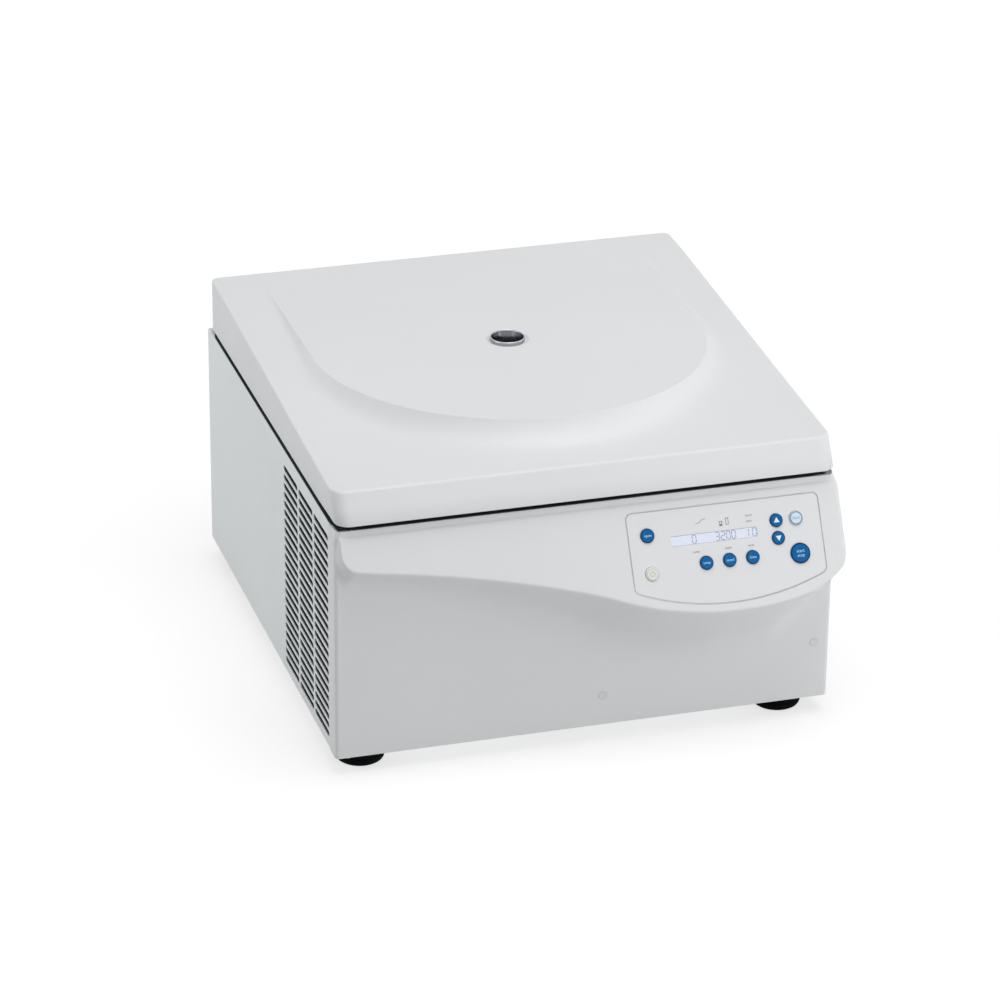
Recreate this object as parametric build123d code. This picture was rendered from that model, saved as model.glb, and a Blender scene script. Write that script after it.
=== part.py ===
from build123d import *
import os
from math import acos, asin, cos, hypot, pi, radians, sin, sqrt, tan

# Bench-top microplate centrifuge.  Millimetres, +Z up, front faces -Y.
# The origin lies on the floor, under the middle of the overall box.

# ---------------------------------------------------------------- driving dimensions
side_bay = 58.5             # room between the armour ring and the sides
front_bay = 82.0            # and in front of it, for the latch
rear_bay = 50.0             # and behind it
body_top = 276.0            # top edge of the housing
foot_height = 20.0          # floor to the underside of the base
fit = 0.3                   # clearance between parts that seat in one another
running = 0.05              # radial clearance of a shaft in its bearing

sheet = 1.5                 # folded steel sheet
base_sheet = 2.0
base_flange = 16.0
moulding = 3.0              # wall of the plastic mouldings
corner_r = 10.0             # vertical corners of the front moulding
wrap = 23.0                 # how far the front moulding wraps round the sides
panel_flange = 14.0         # folded top edge of a side panel

foot_r = 26.0
vent_width = 120.0          # air opening in the base
vent_depth = 40.0
vent_front = 46.0           # from the front panel plane
foot_side = 37.5            # feet from the sides
foot_inset = 37.0           # feet from the front and the back

slot_length = 53.0          # ventilation slots in the side panels
slot_height = 4.5
slot_columns = 3
slot_rows = 23
slot_pitch_y = 62.0
slot_pitch_z = 10.1
slot_field_front = 28.0     # from the front panel plane
slot_field_bottom = 33.0    # from the floor

console_top = 267.0         # top edge of the sloping console
console_step = 4.0          # depth of the ledge above it
console_tilt = 28.7         # degrees, face against the vertical
console_end = 3.5           # its left end stops short of the housing's side
lip_left = 235.0            # height of the lip at its left end
lip_low = 166.5             # lowest point of the lip
lip_low_side = 127.5        # where the lip is lowest, from the right side
under_angle = 45.0          # slope of the underside, back and down
lip_end_rise = 24.0         # straight part's end above the lip, at the left
lip_end_r = 22.0            # and the corner's radius
lip_side_rise = 42.0        # the same at the right side
lip_side_r = 30.0
lip_round = 6.0             # rounding of the lip and of the console's ends
ledge_round = 2.5           # rounding of its top edge

plug_r = 4.5                # small covers in the front panel
plug_x = 18.5               # emergency release cover, from the middle line
plug_z = 54.0
side_plug_inset = 17.5      # screw cover, from the right side
side_plug_z = 84.0
plug_depth = 4.0
plug_proud = 0.4
plug_wall = 1.5

overlay_side = 25.5         # control panel outline, from the right side
overlay_margin = 20.0       # its left edge from the first column of keys
overlay_top = 261.0
overlay_low = 173.0         # lowest point of its curved lower edge
overlay_corner = 191.0      # where that curve meets the sides
overlay_sheet = 1.5
overlay_groove = 0.5        # visible gap round the control panel
overlay_seat = 5.0          # width of the rebate that carries it

display_side = 94.0         # display window, from the right side
display_width = 93.5
display_centre_z = 232.4
display_height = 10.0
display_lens_sheet = 1.2
board_gap = 8.0             # control board behind the overlay
board_sheet = 1.6
board_inset = 12.0
board_post_r = 2.2

key_travel = 0.8
key_proud = 1.6             # a key cap above the overlay
key_cap = 3.0
key_stem_r = 3.0
keys = {                    # name: (from the right side, height of its centre, radius)
    "key_open": (211.5, 240.3, 7.2),
    "key_power": (211.5, 206.0, 7.2),
    "key_left": (152.5, 210.0, 7.0),
    "key_middle": (127.5, 210.0, 7.0),
    "key_right": (102.5, 210.0, 7.0),
    "key_up": (72.4, 240.3, 6.8),
    "key_down": (72.4, 224.4, 6.8),
    "key_short": (51.0, 240.3, 7.2),
    "key_start": (51.0, 208.4, 10.4),
}

bowl_r = 195.0              # inside of the rotor chamber
bowl_floor = 119.5          # upper face of its floor
bowl_wall = 1.5
bowl_round = 25.0
bowl_flange = 17.0
bowl_hole_r = 34.0
gasket_width = 10.0
gasket_height = 5.2
deck_sheet = 3.0
deck_drop = 1.5             # deck's upper face below the housing's edge
guard_wall = 6.0            # armour ring round the chamber
guard_gap = 8.0
guard_bottom = 100.0
guard_post_r = 8.0
guard_post_count = 4

motor_r = 62.0
motor_wall = 4.0
motor_bottom = 34.0
motor_top = 112.0
motor_boss_r = 28.0
motor_boss_top = 126.0
motor_flange_margin = 1.0   # motor's flange beyond the dampers
motor_flange_sheet = 6.0
damper_r = 13.0
damper_height = 23.0
damper_gap = 3.0            # from the motor
bearing_r = 16.0
bearing_width = 9.0
seat_r = 20.0               # bosses that hold the bearings
shaft_r = 7.5
shaft_bottom = 40.0
stator_r = 34.0
stator_height = 36.0
seal_height = 9.0

pivot_z = 212.0             # plate carrier pivots
pivot_radius = 95.0
carrier_long = 128.5        # well for a plate 127.8 x 85.5
carrier_short = 86.5
carrier_depth = 46.0        # takes a deep plate, 44 high
carrier_wall = 2.5
carrier_rim = 6.0           # rim below the pivot
carrier_ear = 12.0
window_long = 84.0          # openings in the carrier's long walls
window_high = 26.0
trunnion_r = 4.0
trunnion_reach = 2.5
bar_gap = 2.25              # carrier to rotor bar
bar_width = 10.0
bar_height = 18.0
bar_end = 17.0
head_plate = 12.0
head_half = 40.0
hub_r = 26.0
hub_bottom = 190.0
hub_top = 226.0
nut_r = 17.0
nut_height = 15.0

lid_gap = 4.5               # housing to lid
lid_inset = 2.0             # lid from the housing's sides
lid_front_height = 31.0     # lid's lower edge to its upper edge, at the front
lid_rear_height = 57.5      # and at the back
lid_front_y = -4.7          # lower front edge, from the front panel plane
lid_front_lean = 0.62       # how far the front face leans back, per mm of height
lid_rear_set = 8.0          # lid ends in front of the housing's back
lid_corner = 15.0           # its upright front corners
lid_rear_corner = 8.0
lid_edge = 5.0
lid_wall = 3.0
disc_over = 13.0            # level round plateau, larger than the bowl
disc_rise = 1.0             # plateau above the lid's rear edge
cove_width = 50.0           # hollow-curved skirt round the plateau
cove_sink = 1.2             # its foot under the slope, at the front
window_r = 15.0             # sight glass
window_tube_wall = 1.5
window_flange = 2.0
window_proud = 0.8
glass_sheet = 3.0
glass_drop = 9.0
liner_sheet = 1.5
liner_rise = 1.0
liner_rear_gap = 21.0       # liner ends in front of the hinges

hinge_inset = 13.0          # hinge line, from the lid's rear face
hinge_z = 294.0
hinge_x = 170.0
hinge_bracket = 8.0         # thickness of the fixed eye
hinge_eye = 9.0
hinge_pin_r = 4.0
hinge_arm = 6.0
hinge_arm_reach = 46.0
hinge_arm_height = 10.0
hinge_sweep = 16.5          # lid's rolled rear edge, about the hinge
hinge_stem = 8.0            # half the depth of the bracket's upright
hinge_foot = 18.0           # reach of the bracket's foot
hinge_foot_sheet = 2.0
lid_open = 78.0

latch_x = 150.0
striker_y = 30.0
striker_sheet = 3.0
striker_width = 24.0
striker_low = 244.0
striker_window = 12.0
latch_shaft_y = 50.0
latch_shaft_z = 238.0
latch_shaft_r = 3.0
hook_sheet = 8.0
hook_angle = 30.0
hook_lead = 3.0             # bevel on the hook's nose
latch_cheek = 3.0
latch_motor_r = 14.0
latch_motor_length = 60.0

fan_size = 119.0
fan_depth = 25.0
fan_side = 137.5            # fan's middle from the right side
fan_z = 104.0
fan_bore_r = 56.0
fan_hub_r = 20.0
fan_blades = 7
fan_screw_pitch = 105.0
fan_axle_r = 3.0
guard_wire = 2.0
guard_rings = 6

inlet_side = 71.5           # inlet's middle from the left side
inlet_z = 74.0
inlet_width = 28.0
inlet_height = 20.0
inlet_depth = 24.0
inlet_flange_w = 50.0
inlet_flange_h = 30.0
rocker_gap = 56.0           # switch from the inlet, middle to middle
rocker_width = 22.0
rocker_height = 30.0
rocker_depth = 20.0
rocker_pin_r = 1.5
rocker_tilt = 8.0           # degrees, at rest in the off position

board_front = 30.0          # power board from the front panel plane
board_side = 12.0           # and from the side
board_width = 96.0
board_stand = 8.0
board_post_gap = 4.0        # and from the posts behind it
capacitor_r = 9.0
capacitor_height = 28.0
capacitor_pitch = 22.0
fin_height = 20.0
fin_pitch = 7.0
transformer_x = 92.0
transformer_y = 74.0
transformer_z = 66.0
transformer_side = 28.0     # from the right side
transformer_front = 32.0    # from the front panel plane
screw_r = 3.2
screw_head = 1.8
fan_screw_length = 14.0
rear_screw_length = 8.0
rear_tab = 18.0             # side panels' folded rear edges, for the rear screws
rear_screw_inset = 10.0
rear_screw_heights = (60.0, 160.0, 250.0)

# ---------------------------------------------------------------- derived places
guard_r = bowl_r + guard_gap + guard_wall                      # outside of the armour ring
half = guard_r + side_bay
body_depth = front_bay + 2 * guard_r + rear_bay
rotor_y = front_bay + guard_r
tilt = radians(console_tilt)
under = radians(under_angle)
lip_angle = acos(sin(tilt) * cos(under) - cos(tilt) * sin(under))
lip_lead = (sin(tilt) + cos(under)) / (2 * cos(lip_angle / 2) * sin(lip_angle / 2)) - 1
lip_reach = console_step + (console_top - lip_low) * tan(tilt) - lip_round * lip_lead
rear_reach = 2 * guard_wire                                    # fan guard behind the rear panel
y0 = lip_reach - (lip_reach + body_depth + rear_reach) / 2     # front panel plane
rear = y0 + body_depth
axis_y = y0 + rotor_y
deck_top = body_top - deck_drop
deck_under = deck_top - deck_sheet
lid_low = body_top + lid_gap
lid_front_top = lid_low + lid_front_height
lid_rear_top = lid_low + lid_rear_height
lid_rear_y = body_depth - lid_rear_set
disc_r = bowl_r + disc_over
damper_circle = motor_r + damper_gap + damper_r
motor_flange_r = damper_circle + damper_r + motor_flange_margin
foot_x = half - foot_side
overlay_right = half - overlay_side
overlay_left = half - max(side for side, z, r in keys.values()) - overlay_margin
display_right = half - display_side
display_left = display_right - display_width
disc_top = lid_rear_top + disc_rise
liner_low = lid_low + liner_rise
flange_top = deck_top + bowl_wall
side_in = half - sheet
lid_half = half - lid_inset
hinge = (y0 + lid_rear_y - hinge_inset, hinge_z)
fan_x = half - fan_side
inlet_x = inlet_side - half
rocker_x = inlet_x + rocker_gap
plug_places = ((plug_x, plug_z), (half - side_plug_inset, side_plug_z))
post_reach = guard_r - guard_wall / 2
panel_front = y0 + wrap
carrier_low = pivot_z - carrier_rim - carrier_depth - carrier_wall

# Face of the console: v runs up the slope, the plane's normal points out.
face_y = y0 - console_step
face_plane = Plane(
    origin=(0, face_y, console_top), x_dir=(1, 0, 0), z_dir=(0, -cos(tilt), sin(tilt)))


def on_face(z):
    """Distance along the console's slope from its top edge down to height z."""
    return (z - console_top) / cos(tilt)


def block(x, y, z):
    """Box between pairs of limits."""
    size = (x[1] - x[0], y[1] - y[0], z[1] - z[0])
    return Pos((x[0] + x[1]) / 2, (y[0] + y[1]) / 2, (z[0] + z[1]) / 2) * Box(*size)


def rod(r, z, x=0.0, y=None):
    """Upright cylinder between two heights."""
    y = axis_y if y is None else y
    return Pos(x, y, (z[0] + z[1]) / 2) * Cylinder(r, z[1] - z[0])


def rod_x(r, x, y, z):
    """Cylinder along X between two limits."""
    return Pos((x[0] + x[1]) / 2, y, z) * Rot(0, 90, 0) * Cylinder(r, x[1] - x[0])


def rod_y(r, y, x, z):
    """Cylinder along Y between two limits."""
    return Pos(x, (y[0] + y[1]) / 2, z) * Rot(90, 0, 0) * Cylinder(r, y[1] - y[0])


def ring(r_in, r_out, z, x=0.0, y=None):
    return rod(r_out, z, x, y) - rod(r_in, (z[0] - 1, z[1] + 1), x, y)


def turned(points, y=None):
    """Solid of revolution about the rotor axis from (radius, height) points."""
    y = axis_y if y is None else y
    outline = Polyline(*[(r, 0, z) for r, z in points], close=True)
    return Pos(0, y, 0) * revolve(make_face(outline), Axis.Z, 360)


def side_profile(points, x):
    """Outline in (y, z), extruded between two x limits."""
    outline = make_face(Polyline(*[(x[0], p[0], p[1]) for p in points], close=True))
    return extrude(outline, x[1] - x[0], dir=(1, 0, 0))


def save(name, *solids):
    shape = solids[0] if len(solids) == 1 else Compound(children=list(solids))
    if isinstance(shape, ShapeList):
        shape = Compound(children=list(shape))
    export_step(shape, f"parts/{name}.step")


def floor_sheet(z):
    """Sheet filling the housing's plan, narrower inside the front moulding."""
    x = side_in - fit
    narrow = half - moulding - fit
    front = y0 + moulding + fit
    plate = block((-narrow, narrow), (front, panel_front + 1), z)
    uprights = plate.edges().filter_by(Axis.Z).group_by(Axis.Y)[0]
    plate = fillet(uprights, corner_r - moulding)
    return plate + block((-x, x), (panel_front, rear - sheet - fit), z)


# ---------------------------------------------------------------- base and feet
def base_plate():
    x = side_in - fit
    y = (y0 + moulding + fit, rear - sheet - fit)
    z = (foot_height, foot_height + base_sheet)
    plate = floor_sheet(z)
    vent_y = (y0 + vent_front, y0 + vent_front + vent_depth)
    plate -= block((-vent_width / 2, vent_width / 2), vent_y, (z[0] - 1, z[1] + 1))
    for side in (-1, 1):
        edge = sorted((side * x, side * (x - base_sheet)))
        plate += block(edge, (panel_front, y[1]), (z[0], z[0] + base_flange))
    return plate


def feet():
    places = [(sx * foot_x, y) for sx in (-1, 1) for y in (y0 + foot_inset, rear - foot_inset)]
    made = []
    for x, y in places:
        foot = rod(foot_r, (0, foot_height), x, y)
        made.append(chamfer(foot.edges().group_by(Axis.Z)[0], 2.0))
    return made


# ---------------------------------------------------------------- housing panels
def slot_field(x):
    """Rows of round-ended slots, cut through a side panel at x."""
    cutters = []
    for column in range(slot_columns):
        for row in range(slot_rows):
            y = y0 + slot_field_front + slot_length / 2 + column * slot_pitch_y
            z = slot_field_bottom + slot_height / 2 + row * slot_pitch_z
            shape = Plane(origin=(x, y, z), x_dir=(0, 1, 0), z_dir=(1, 0, 0)) * SlotOverall(
                slot_length, slot_height)
            cutters.append(extrude(shape, 2 * sheet, both=True))
    return cutters


def side_panel(side):
    outer = sorted((side * half, side * side_in))
    folded = sorted((side * half, side * (half - panel_flange)))
    y = (panel_front, rear - sheet - fit)
    panel = block(outer, y, (foot_height, body_top))
    panel += block(folded, y, (deck_under - sheet, deck_under))
    tab = sorted((side * half, side * (half - rear_tab)))
    panel += block(tab, (y[1] - sheet, y[1]), (foot_height + base_flange + 2, deck_under))
    for x, z in rear_screw_places():
        panel -= rod_y(screw_r / 2 + fit / 2, (y[1] - sheet - 1, y[1] + 1), x, z)
    return panel - slot_field(side * (half - sheet / 2))


def rear_screw_places():
    return [(sx * (half - rear_screw_inset), z) for sx in (-1, 1) for z in rear_screw_heights]


def rear_panel():
    panel = block((-half, half), (rear - sheet, rear), (foot_height, body_top))
    edges = panel.edges().filter_by(Axis.Y)
    panel = fillet(edges, 2.0)
    y = (rear - 2 * sheet, rear + sheet)
    panel -= rod_y(fan_bore_r, y, fan_x, fan_z)
    for dx, dz in corners(fan_screw_pitch / 2):
        panel -= rod_y(screw_r / 2 + fit, y, fan_x + dx, fan_z + dz)
    panel -= centred(inlet_x, inlet_z, inlet_width + 4, inlet_height + 4, y, fit)
    panel -= centred(rocker_x, inlet_z, rocker_width, rocker_height, y, fit)
    for x, z in rear_screw_places():
        panel -= rod_y(screw_r / 2 + fit / 2, y, x, z)
    return panel


def corners(reach):
    return [(sx * reach, sz * reach) for sx in (-1, 1) for sz in (-1, 1)]


def centred(x, z, width, height, y, grow=0.0):
    w = width / 2 + grow
    h = height / 2 + grow
    return block((x - w, x + w), y, (z - h, z + h))


# ---------------------------------------------------------------- front moulding
def console_outline(inset):
    """Console outline on its sloping face: level top, S-shaped lower lip."""
    left = console_end + inset - half
    right = half - inset
    top = -inset
    low = on_face(lip_low) + inset
    start = on_face(lip_left) + inset
    top_edge = Line((left, top), (right, top))
    right_side = Line((right, top), (right, low + lip_side_rise))
    left_side = Line((left, top), (left, start + lip_end_rise))
    knee = JernArc((left, start + lip_end_rise), (0, -1), lip_end_r - inset / 2, 83)
    rise = JernArc((right, low + lip_side_rise), (0, -1), lip_side_r - inset / 2, -66)
    lip = Spline(knee @ 1, (0, (start + low) / 2 - 6), (half - lip_low_side, low), rise @ 1,
                 tangents=(knee % 1, (rise % 1) * -1))
    return make_face(Curve() + [top_edge, left_side, knee, lip, rise, right_side])


def console_solid(inset):
    """Wedge behind the console face, its underside running back and down."""
    back_down = (0, cos(under), -sin(under))
    face = face_plane.offset(-inset) * console_outline(inset)
    wedge = extrude(face, 2 * lip_reach, dir=back_down)
    if inset == 0:
        front = wedge.faces().sort_by(Axis((0, 0, 0), face_plane.z_dir))[-1]
        top = front.edges().sort_by(Axis.Z)[-1]
        wedge = fillet([e for e in front.edges() if e.center().Z < top.center().Z - 1], lip_round)
        front = wedge.faces().sort_by(Axis((0, 0, 0), face_plane.z_dir))[-1]
        wedge = fillet(front.edges().sort_by(Axis.Z)[-1:], ledge_round)
    cut_back = y0 + (moulding if inset == 0 else 2 * moulding)
    return wedge - block((-body_depth, body_depth), (cut_back, cut_back + body_depth),
                         (-body_depth, body_depth))


def front_shell(inset):
    """Front wall with its rounded corners, wrapping round both sides."""
    w = half - inset
    shell = block((-w, w), (y0 + inset, panel_front - fit), (foot_height, body_top))
    upright = shell.edges().filter_by(Axis.Z).group_by(Axis.Y)[0]
    return fillet(upright, corner_r - inset)


def overlay_outline(grow):
    """Control panel outline: level top, upright sides, bowed lower edge."""
    left = overlay_left - grow
    right = overlay_right + grow
    top = on_face(overlay_top) + grow
    side = on_face(overlay_corner) - grow
    bow = on_face(overlay_low) - grow
    middle = (left + right) / 2
    outline = Curve() + [
        Line((left, side), (left, top)),
        Line((left, top), (right, top)),
        Line((right, top), (right, side)),
        ThreePointArc((right, side), (middle, bow), (left, side)),
    ]
    shape = make_face(outline)
    return fillet(shape.vertices(), 6.0 + grow)


def from_face(sketch, near, far):
    """Solid between two depths below the console face."""
    return extrude(face_plane.offset(-far) * sketch, far - near, dir=tuple(face_plane.z_dir))


def front_panel():
    shell = front_shell(0) + console_solid(0)
    hollow = front_shell(moulding) + block(
        (-half + moulding, half - moulding), (y0 + corner_r, panel_front + 1),
        (foot_height - 1, body_top + 1))
    hollow += block((-half + corner_r, half - corner_r), (y0 + moulding, y0 + corner_r + 1),
                    (foot_height - 1, body_top + 1))
    shell -= hollow
    shell -= console_solid(moulding)
    shell -= from_face(overlay_outline(overlay_groove), -1.0, overlay_sheet)
    shell -= from_face(overlay_outline(-overlay_seat), -1.0, moulding + 2.0)
    for x, z in plug_places:
        shell -= rod_y(plug_r + fit / 2, (y0 - 1, y0 + moulding + 1), x, z)
    return shell


def front_plugs():
    """Cover of the emergency lid release and of a housing screw."""
    made = []
    for x, z in plug_places:
        plug = rod_y(plug_r, (y0 - plug_proud, y0 + plug_depth), x, z)
        made.append(plug - rod_y(plug_r - plug_wall, (y0 - 1, y0 + plug_proud), x, z))
    return made


# ---------------------------------------------------------------- control panel
def display_sketch(grow):
    v = on_face(display_centre_z)
    width = display_right - display_left + 2 * grow
    return Pos((display_left + display_right) / 2, v) * RectangleRounded(
        width, display_height + 2 * grow, 1.2)


def key_sketch(name, grow=0.0, r=None):
    side, z, size = keys[name]
    x = half - side
    return Pos(x, on_face(z)) * Circle((size if r is None else r) + grow)


def control_overlay():
    plate = from_face(overlay_outline(0), 0.0, overlay_sheet)
    plate -= from_face(display_sketch(fit / 2), -1.0, overlay_sheet + 1)
    for name in keys:
        plate -= from_face(key_sketch(name, fit), -1.0, overlay_sheet + 1)
    return plate


def display_lens():
    return from_face(display_sketch(0), 0.1, 0.1 + display_lens_sheet)


def display_module():
    """Character display, close behind its lens and seated on the board."""
    near = display_lens_sheet + 0.4
    return from_face(display_sketch(-0.5), near, overlay_sheet + board_gap)


def control_board():
    width = overlay_right - overlay_left - 2 * board_inset
    middle = (overlay_left + overlay_right) / 2
    top = on_face(overlay_top) - board_inset
    low = on_face(overlay_corner) + board_inset / 2
    sketch = Pos(middle, (top + low) / 2) * Rectangle(width, top - low)
    near = overlay_sheet + board_gap
    board = from_face(sketch, near, near + board_sheet)
    for name in keys:
        switch = key_sketch(name, r=key_stem_r + 0.8)
        board += from_face(switch, near - 2.0, near)
    for dx, dv in ((-1, 1), (1, 1), (-1, -1), (1, -1)):
        x = middle + dx * (width / 2 - board_post_r)
        v = (top + low) / 2 + dv * ((top - low) / 2 - board_post_r)
        post = Pos(x, v) * Circle(board_post_r)
        board += from_face(post, overlay_sheet + fit, near)
    return board


def key(name):
    """Domed cap with its stem, which ends just above a switch on the board."""
    side, z, r = keys[name]
    x = half - side
    cap = from_face(key_sketch(name), -key_proud, key_cap)
    rim = cap.edges().filter_by(GeomType.CIRCLE).sort_by(Axis((0, 0, 0), face_plane.z_dir))[-1]
    cap = fillet([rim], key_proud / 2)
    stem_end = overlay_sheet + board_gap - 2.0 - key_travel - fit
    return cap + from_face(key_sketch(name, r=key_stem_r), key_cap, stem_end)


# ---------------------------------------------------------------- deck and chamber
def deck_plate():
    deck = floor_sheet((deck_under, deck_top))
    deck -= rod(bowl_r + bowl_wall + fit, (deck_under - 1, deck_top + 1))
    for side in (-1, 1):
        w = striker_width / 2 + 3
        deck -= block((side * latch_x - w, side * latch_x + w),
                      (y0 + striker_y - 6, y0 + striker_y + 9), (deck_under - 1, deck_top + 1))
    return deck


def rotor_chamber():
    """Deep-drawn steel bowl, hung by its rim on the deck."""
    floor = bowl_floor - bowl_wall
    outer = rod(bowl_r + bowl_wall, (floor, flange_top))
    outer = fillet(outer.edges().group_by(Axis.Z)[0], bowl_round + bowl_wall)
    inner = rod(bowl_r, (bowl_floor, flange_top + 5))
    inner = fillet(inner.edges().group_by(Axis.Z)[0], bowl_round)
    rim = rod(bowl_r + bowl_flange, (deck_top, flange_top))
    return outer + rim - inner - rod(bowl_hole_r, (floor - 1, bowl_floor + 1))


def chamber_gasket():
    outside = bowl_r + bowl_flange - 2
    seal = ring(outside - gasket_width, outside, (flange_top, flange_top + gasket_height))
    return fillet(seal.edges().group_by(Axis.Z)[-1], 2.0)


def guard_ring():
    inner = bowl_r + guard_gap
    return ring(inner, inner + guard_wall, (guard_bottom, deck_under - fit))


def guard_posts():
    made = []
    for step in range(guard_post_count):
        turn = pi / 4 + step * 2 * pi / guard_post_count
        x = post_reach * cos(turn)
        y = axis_y + post_reach * sin(turn)
        made.append(rod(guard_post_r, (foot_height + base_sheet, guard_bottom), x, y))
    return made


def shaft_seal():
    z = bowl_floor - seal_height / 2
    seal = ring(motor_boss_r + fit, bowl_hole_r - fit, (z, z + seal_height))
    lip = ring(motor_boss_r + fit, bowl_hole_r + 3, (bowl_floor + fit, bowl_floor + 2.5))
    return seal + lip


# ---------------------------------------------------------------- drive
def motor_housing():
    inner = motor_r - motor_wall
    seat = seat_r
    flange_z = foot_height + base_sheet + damper_height
    bearing_floor = motor_boss_top - bearing_width - 2
    can = turned([
        (0, motor_bottom), (motor_r, motor_bottom), (motor_r, flange_z),
        (motor_flange_r, flange_z), (motor_flange_r, flange_z + motor_flange_sheet),
        (motor_r, flange_z + motor_flange_sheet), (motor_r, motor_top),
        (motor_boss_r, motor_top), (motor_boss_r, motor_boss_top), (0, motor_boss_top)])
    cavity = turned([
        (0, motor_bottom + 2), (bearing_r, motor_bottom + 2),
        (bearing_r, motor_bottom + 2 + bearing_width), (seat, motor_bottom + 2 + bearing_width),
        (seat, motor_bottom + motor_wall), (inner, motor_bottom + motor_wall),
        (inner, motor_top - motor_wall), (0, motor_top - motor_wall)])
    can -= cavity
    can -= rod(shaft_r + 2, (motor_top - motor_wall - 1, motor_boss_top + 1))
    return can - rod(bearing_r, (bearing_floor, motor_boss_top + 1))


def motor_bearings():
    low = motor_bottom + 2
    high = motor_boss_top - bearing_width - 2
    made = []
    for z in (low, high):
        made.append(ring(shaft_r + running, bearing_r - 0.02, (z, z + bearing_width)))
    return made


def motor_stator():
    middle = (motor_bottom + motor_top) / 2
    z = (middle - stator_height / 2, middle + stator_height / 2)
    return ring(stator_r, motor_r - motor_wall - 0.1, z)


def motor_magnet():
    middle = (motor_bottom + motor_top) / 2
    z = (middle - stator_height / 2, middle + stator_height / 2)
    return ring(shaft_r + 0.02, stator_r - 1, z)


def motor_dampers():
    made = []
    low = foot_height + base_sheet
    for step in range(3):
        turn = pi / 2 + step * 2 * pi / 3
        x = damper_circle * cos(turn)
        y = axis_y + damper_circle * sin(turn)
        made.append(rod(damper_r, (low, low + damper_height), x, y))
    return made


def motor_shaft():
    shaft = rod(shaft_r, (shaft_bottom, hub_top + 4))
    return chamfer(shaft.edges().group_by(Axis.Z)[-1], 1.0)


# ---------------------------------------------------------------- plate rotor
bar_inner = carrier_long / 2 + carrier_wall + bar_gap


def rotor_head():
    """Two long bars joined by a plate and hub; the carriers hang between them."""
    x = pivot_radius + bar_end
    z = (pivot_z - bar_height / 2, pivot_z + bar_height / 2)
    plate_z = (pivot_z - head_plate / 2, pivot_z + head_plate / 2)
    outer = bar_inner + bar_width
    head = block((-head_half, head_half), (axis_y - outer, axis_y + outer), plate_z)
    head += rod(hub_r, (hub_bottom, hub_top))
    for side in (-1, 1):
        y = sorted((side * bar_inner, side * outer))
        bar = block((-x, x), (axis_y + y[0], axis_y + y[1]), z)
        bar = fillet(bar.edges().filter_by(Axis.Y), 5.0)
        for end in (-1, 1):
            bar -= rod_y(trunnion_r + 0.02, (axis_y + y[0] - 1, axis_y + y[1] + 1),
                         end * pivot_radius, pivot_z)
        head += bar
    for place in (-1, 1):
        head -= rod(10.0, (plate_z[0] - 1, plate_z[1] + 1), 0, axis_y + place * 46.0)
    return head - rod(shaft_r + 0.02, (hub_bottom - 1, hub_top + 1))


def trunnion_pins():
    made = []
    inner = carrier_long / 2 - trunnion_reach
    outer = bar_inner + bar_width
    for side in (-1, 1):
        y = sorted((side * inner, side * outer))
        for end in (-1, 1):
            made.append(rod_y(trunnion_r, (axis_y + y[0], axis_y + y[1]),
                              end * pivot_radius, pivot_z))
    return made


def rotor_nut():
    """Knurled cap nut on the shaft's end."""
    z = (hub_top, hub_top + nut_height)
    nut = rod(nut_r, z)
    nut = chamfer(nut.edges().group_by(Axis.Z)[-1], 2.5)
    return nut - rod(shaft_r + 0.02, (hub_top - 1, hub_top + 4 + fit))


def plate_carrier(end):
    """Open tray for one plate, hung by two ears."""
    x = end * pivot_radius
    short = carrier_short / 2
    long = carrier_long / 2
    rim = pivot_z - carrier_rim
    wall = carrier_wall
    tray = block((x - short - wall, x + short + wall),
                 (axis_y - long - wall, axis_y + long + wall), (carrier_low, rim))
    tray = fillet(tray.edges().filter_by(Axis.Z), 4.0)
    tray -= block((x - short, x + short), (axis_y - long, axis_y + long),
                  (carrier_low + wall, rim + 1))
    middle = (carrier_low + wall + rim) / 2
    tray -= block((x - short - wall - 1, x + short + wall + 1),
                  (axis_y - window_long / 2, axis_y + window_long / 2),
                  (middle - window_high / 2, middle + window_high / 2))
    for side in (-1, 1):
        y = sorted((side * long, side * (long + wall)))
        ear = block((x - carrier_ear, x + carrier_ear), (axis_y + y[0], axis_y + y[1]),
                    (rim - 1, pivot_z))
        ear += rod_y(carrier_ear, (axis_y + y[0], axis_y + y[1]), x, pivot_z)
        tray += ear
        tray -= rod_y(trunnion_r + running, (axis_y + y[0] - 1, axis_y + y[1] + 1), x, pivot_z)
    return tray


# ---------------------------------------------------------------- lid
def lid_top_at(y):
    """Height of the lid's sloping top, y measured from the front panel plane."""
    front_y = lid_front_y + lid_front_lean * (lid_front_top - lid_low)
    slope = (lid_rear_top - lid_front_top) / (lid_rear_y - front_y)
    return lid_front_top + slope * (y - front_y)


def lid_block(inset, low):
    """Sloping wedge of the lid, its front face leaning back."""
    top_y = lid_front_y + lid_front_lean * (lid_front_top - lid_low)
    lean_low = lid_front_y + lid_front_lean * (low - lid_low)
    shift = inset * sqrt(1 + lid_front_lean ** 2)
    points = [
        (y0 + lean_low + shift, low),
        (y0 + top_y + shift - inset * lid_front_lean, lid_front_top - inset),
        (y0 + lid_rear_y - inset, lid_rear_top - inset),
        (y0 + lid_rear_y - inset, low)]
    x = lid_half - inset
    wedge = side_profile(points, (-x, x))
    upright = [e for e in wedge.edges() if abs(e.tangent_at(0.5).Z) > 0.5]
    front = [e for e in upright if e.center().Y < axis_y]
    wedge = fillet(front, lid_corner - inset)
    back = [e for e in wedge.edges().filter_by(Axis.Z) if e.center().Y > axis_y]
    return fillet(back, lid_rear_corner - inset)


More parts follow.
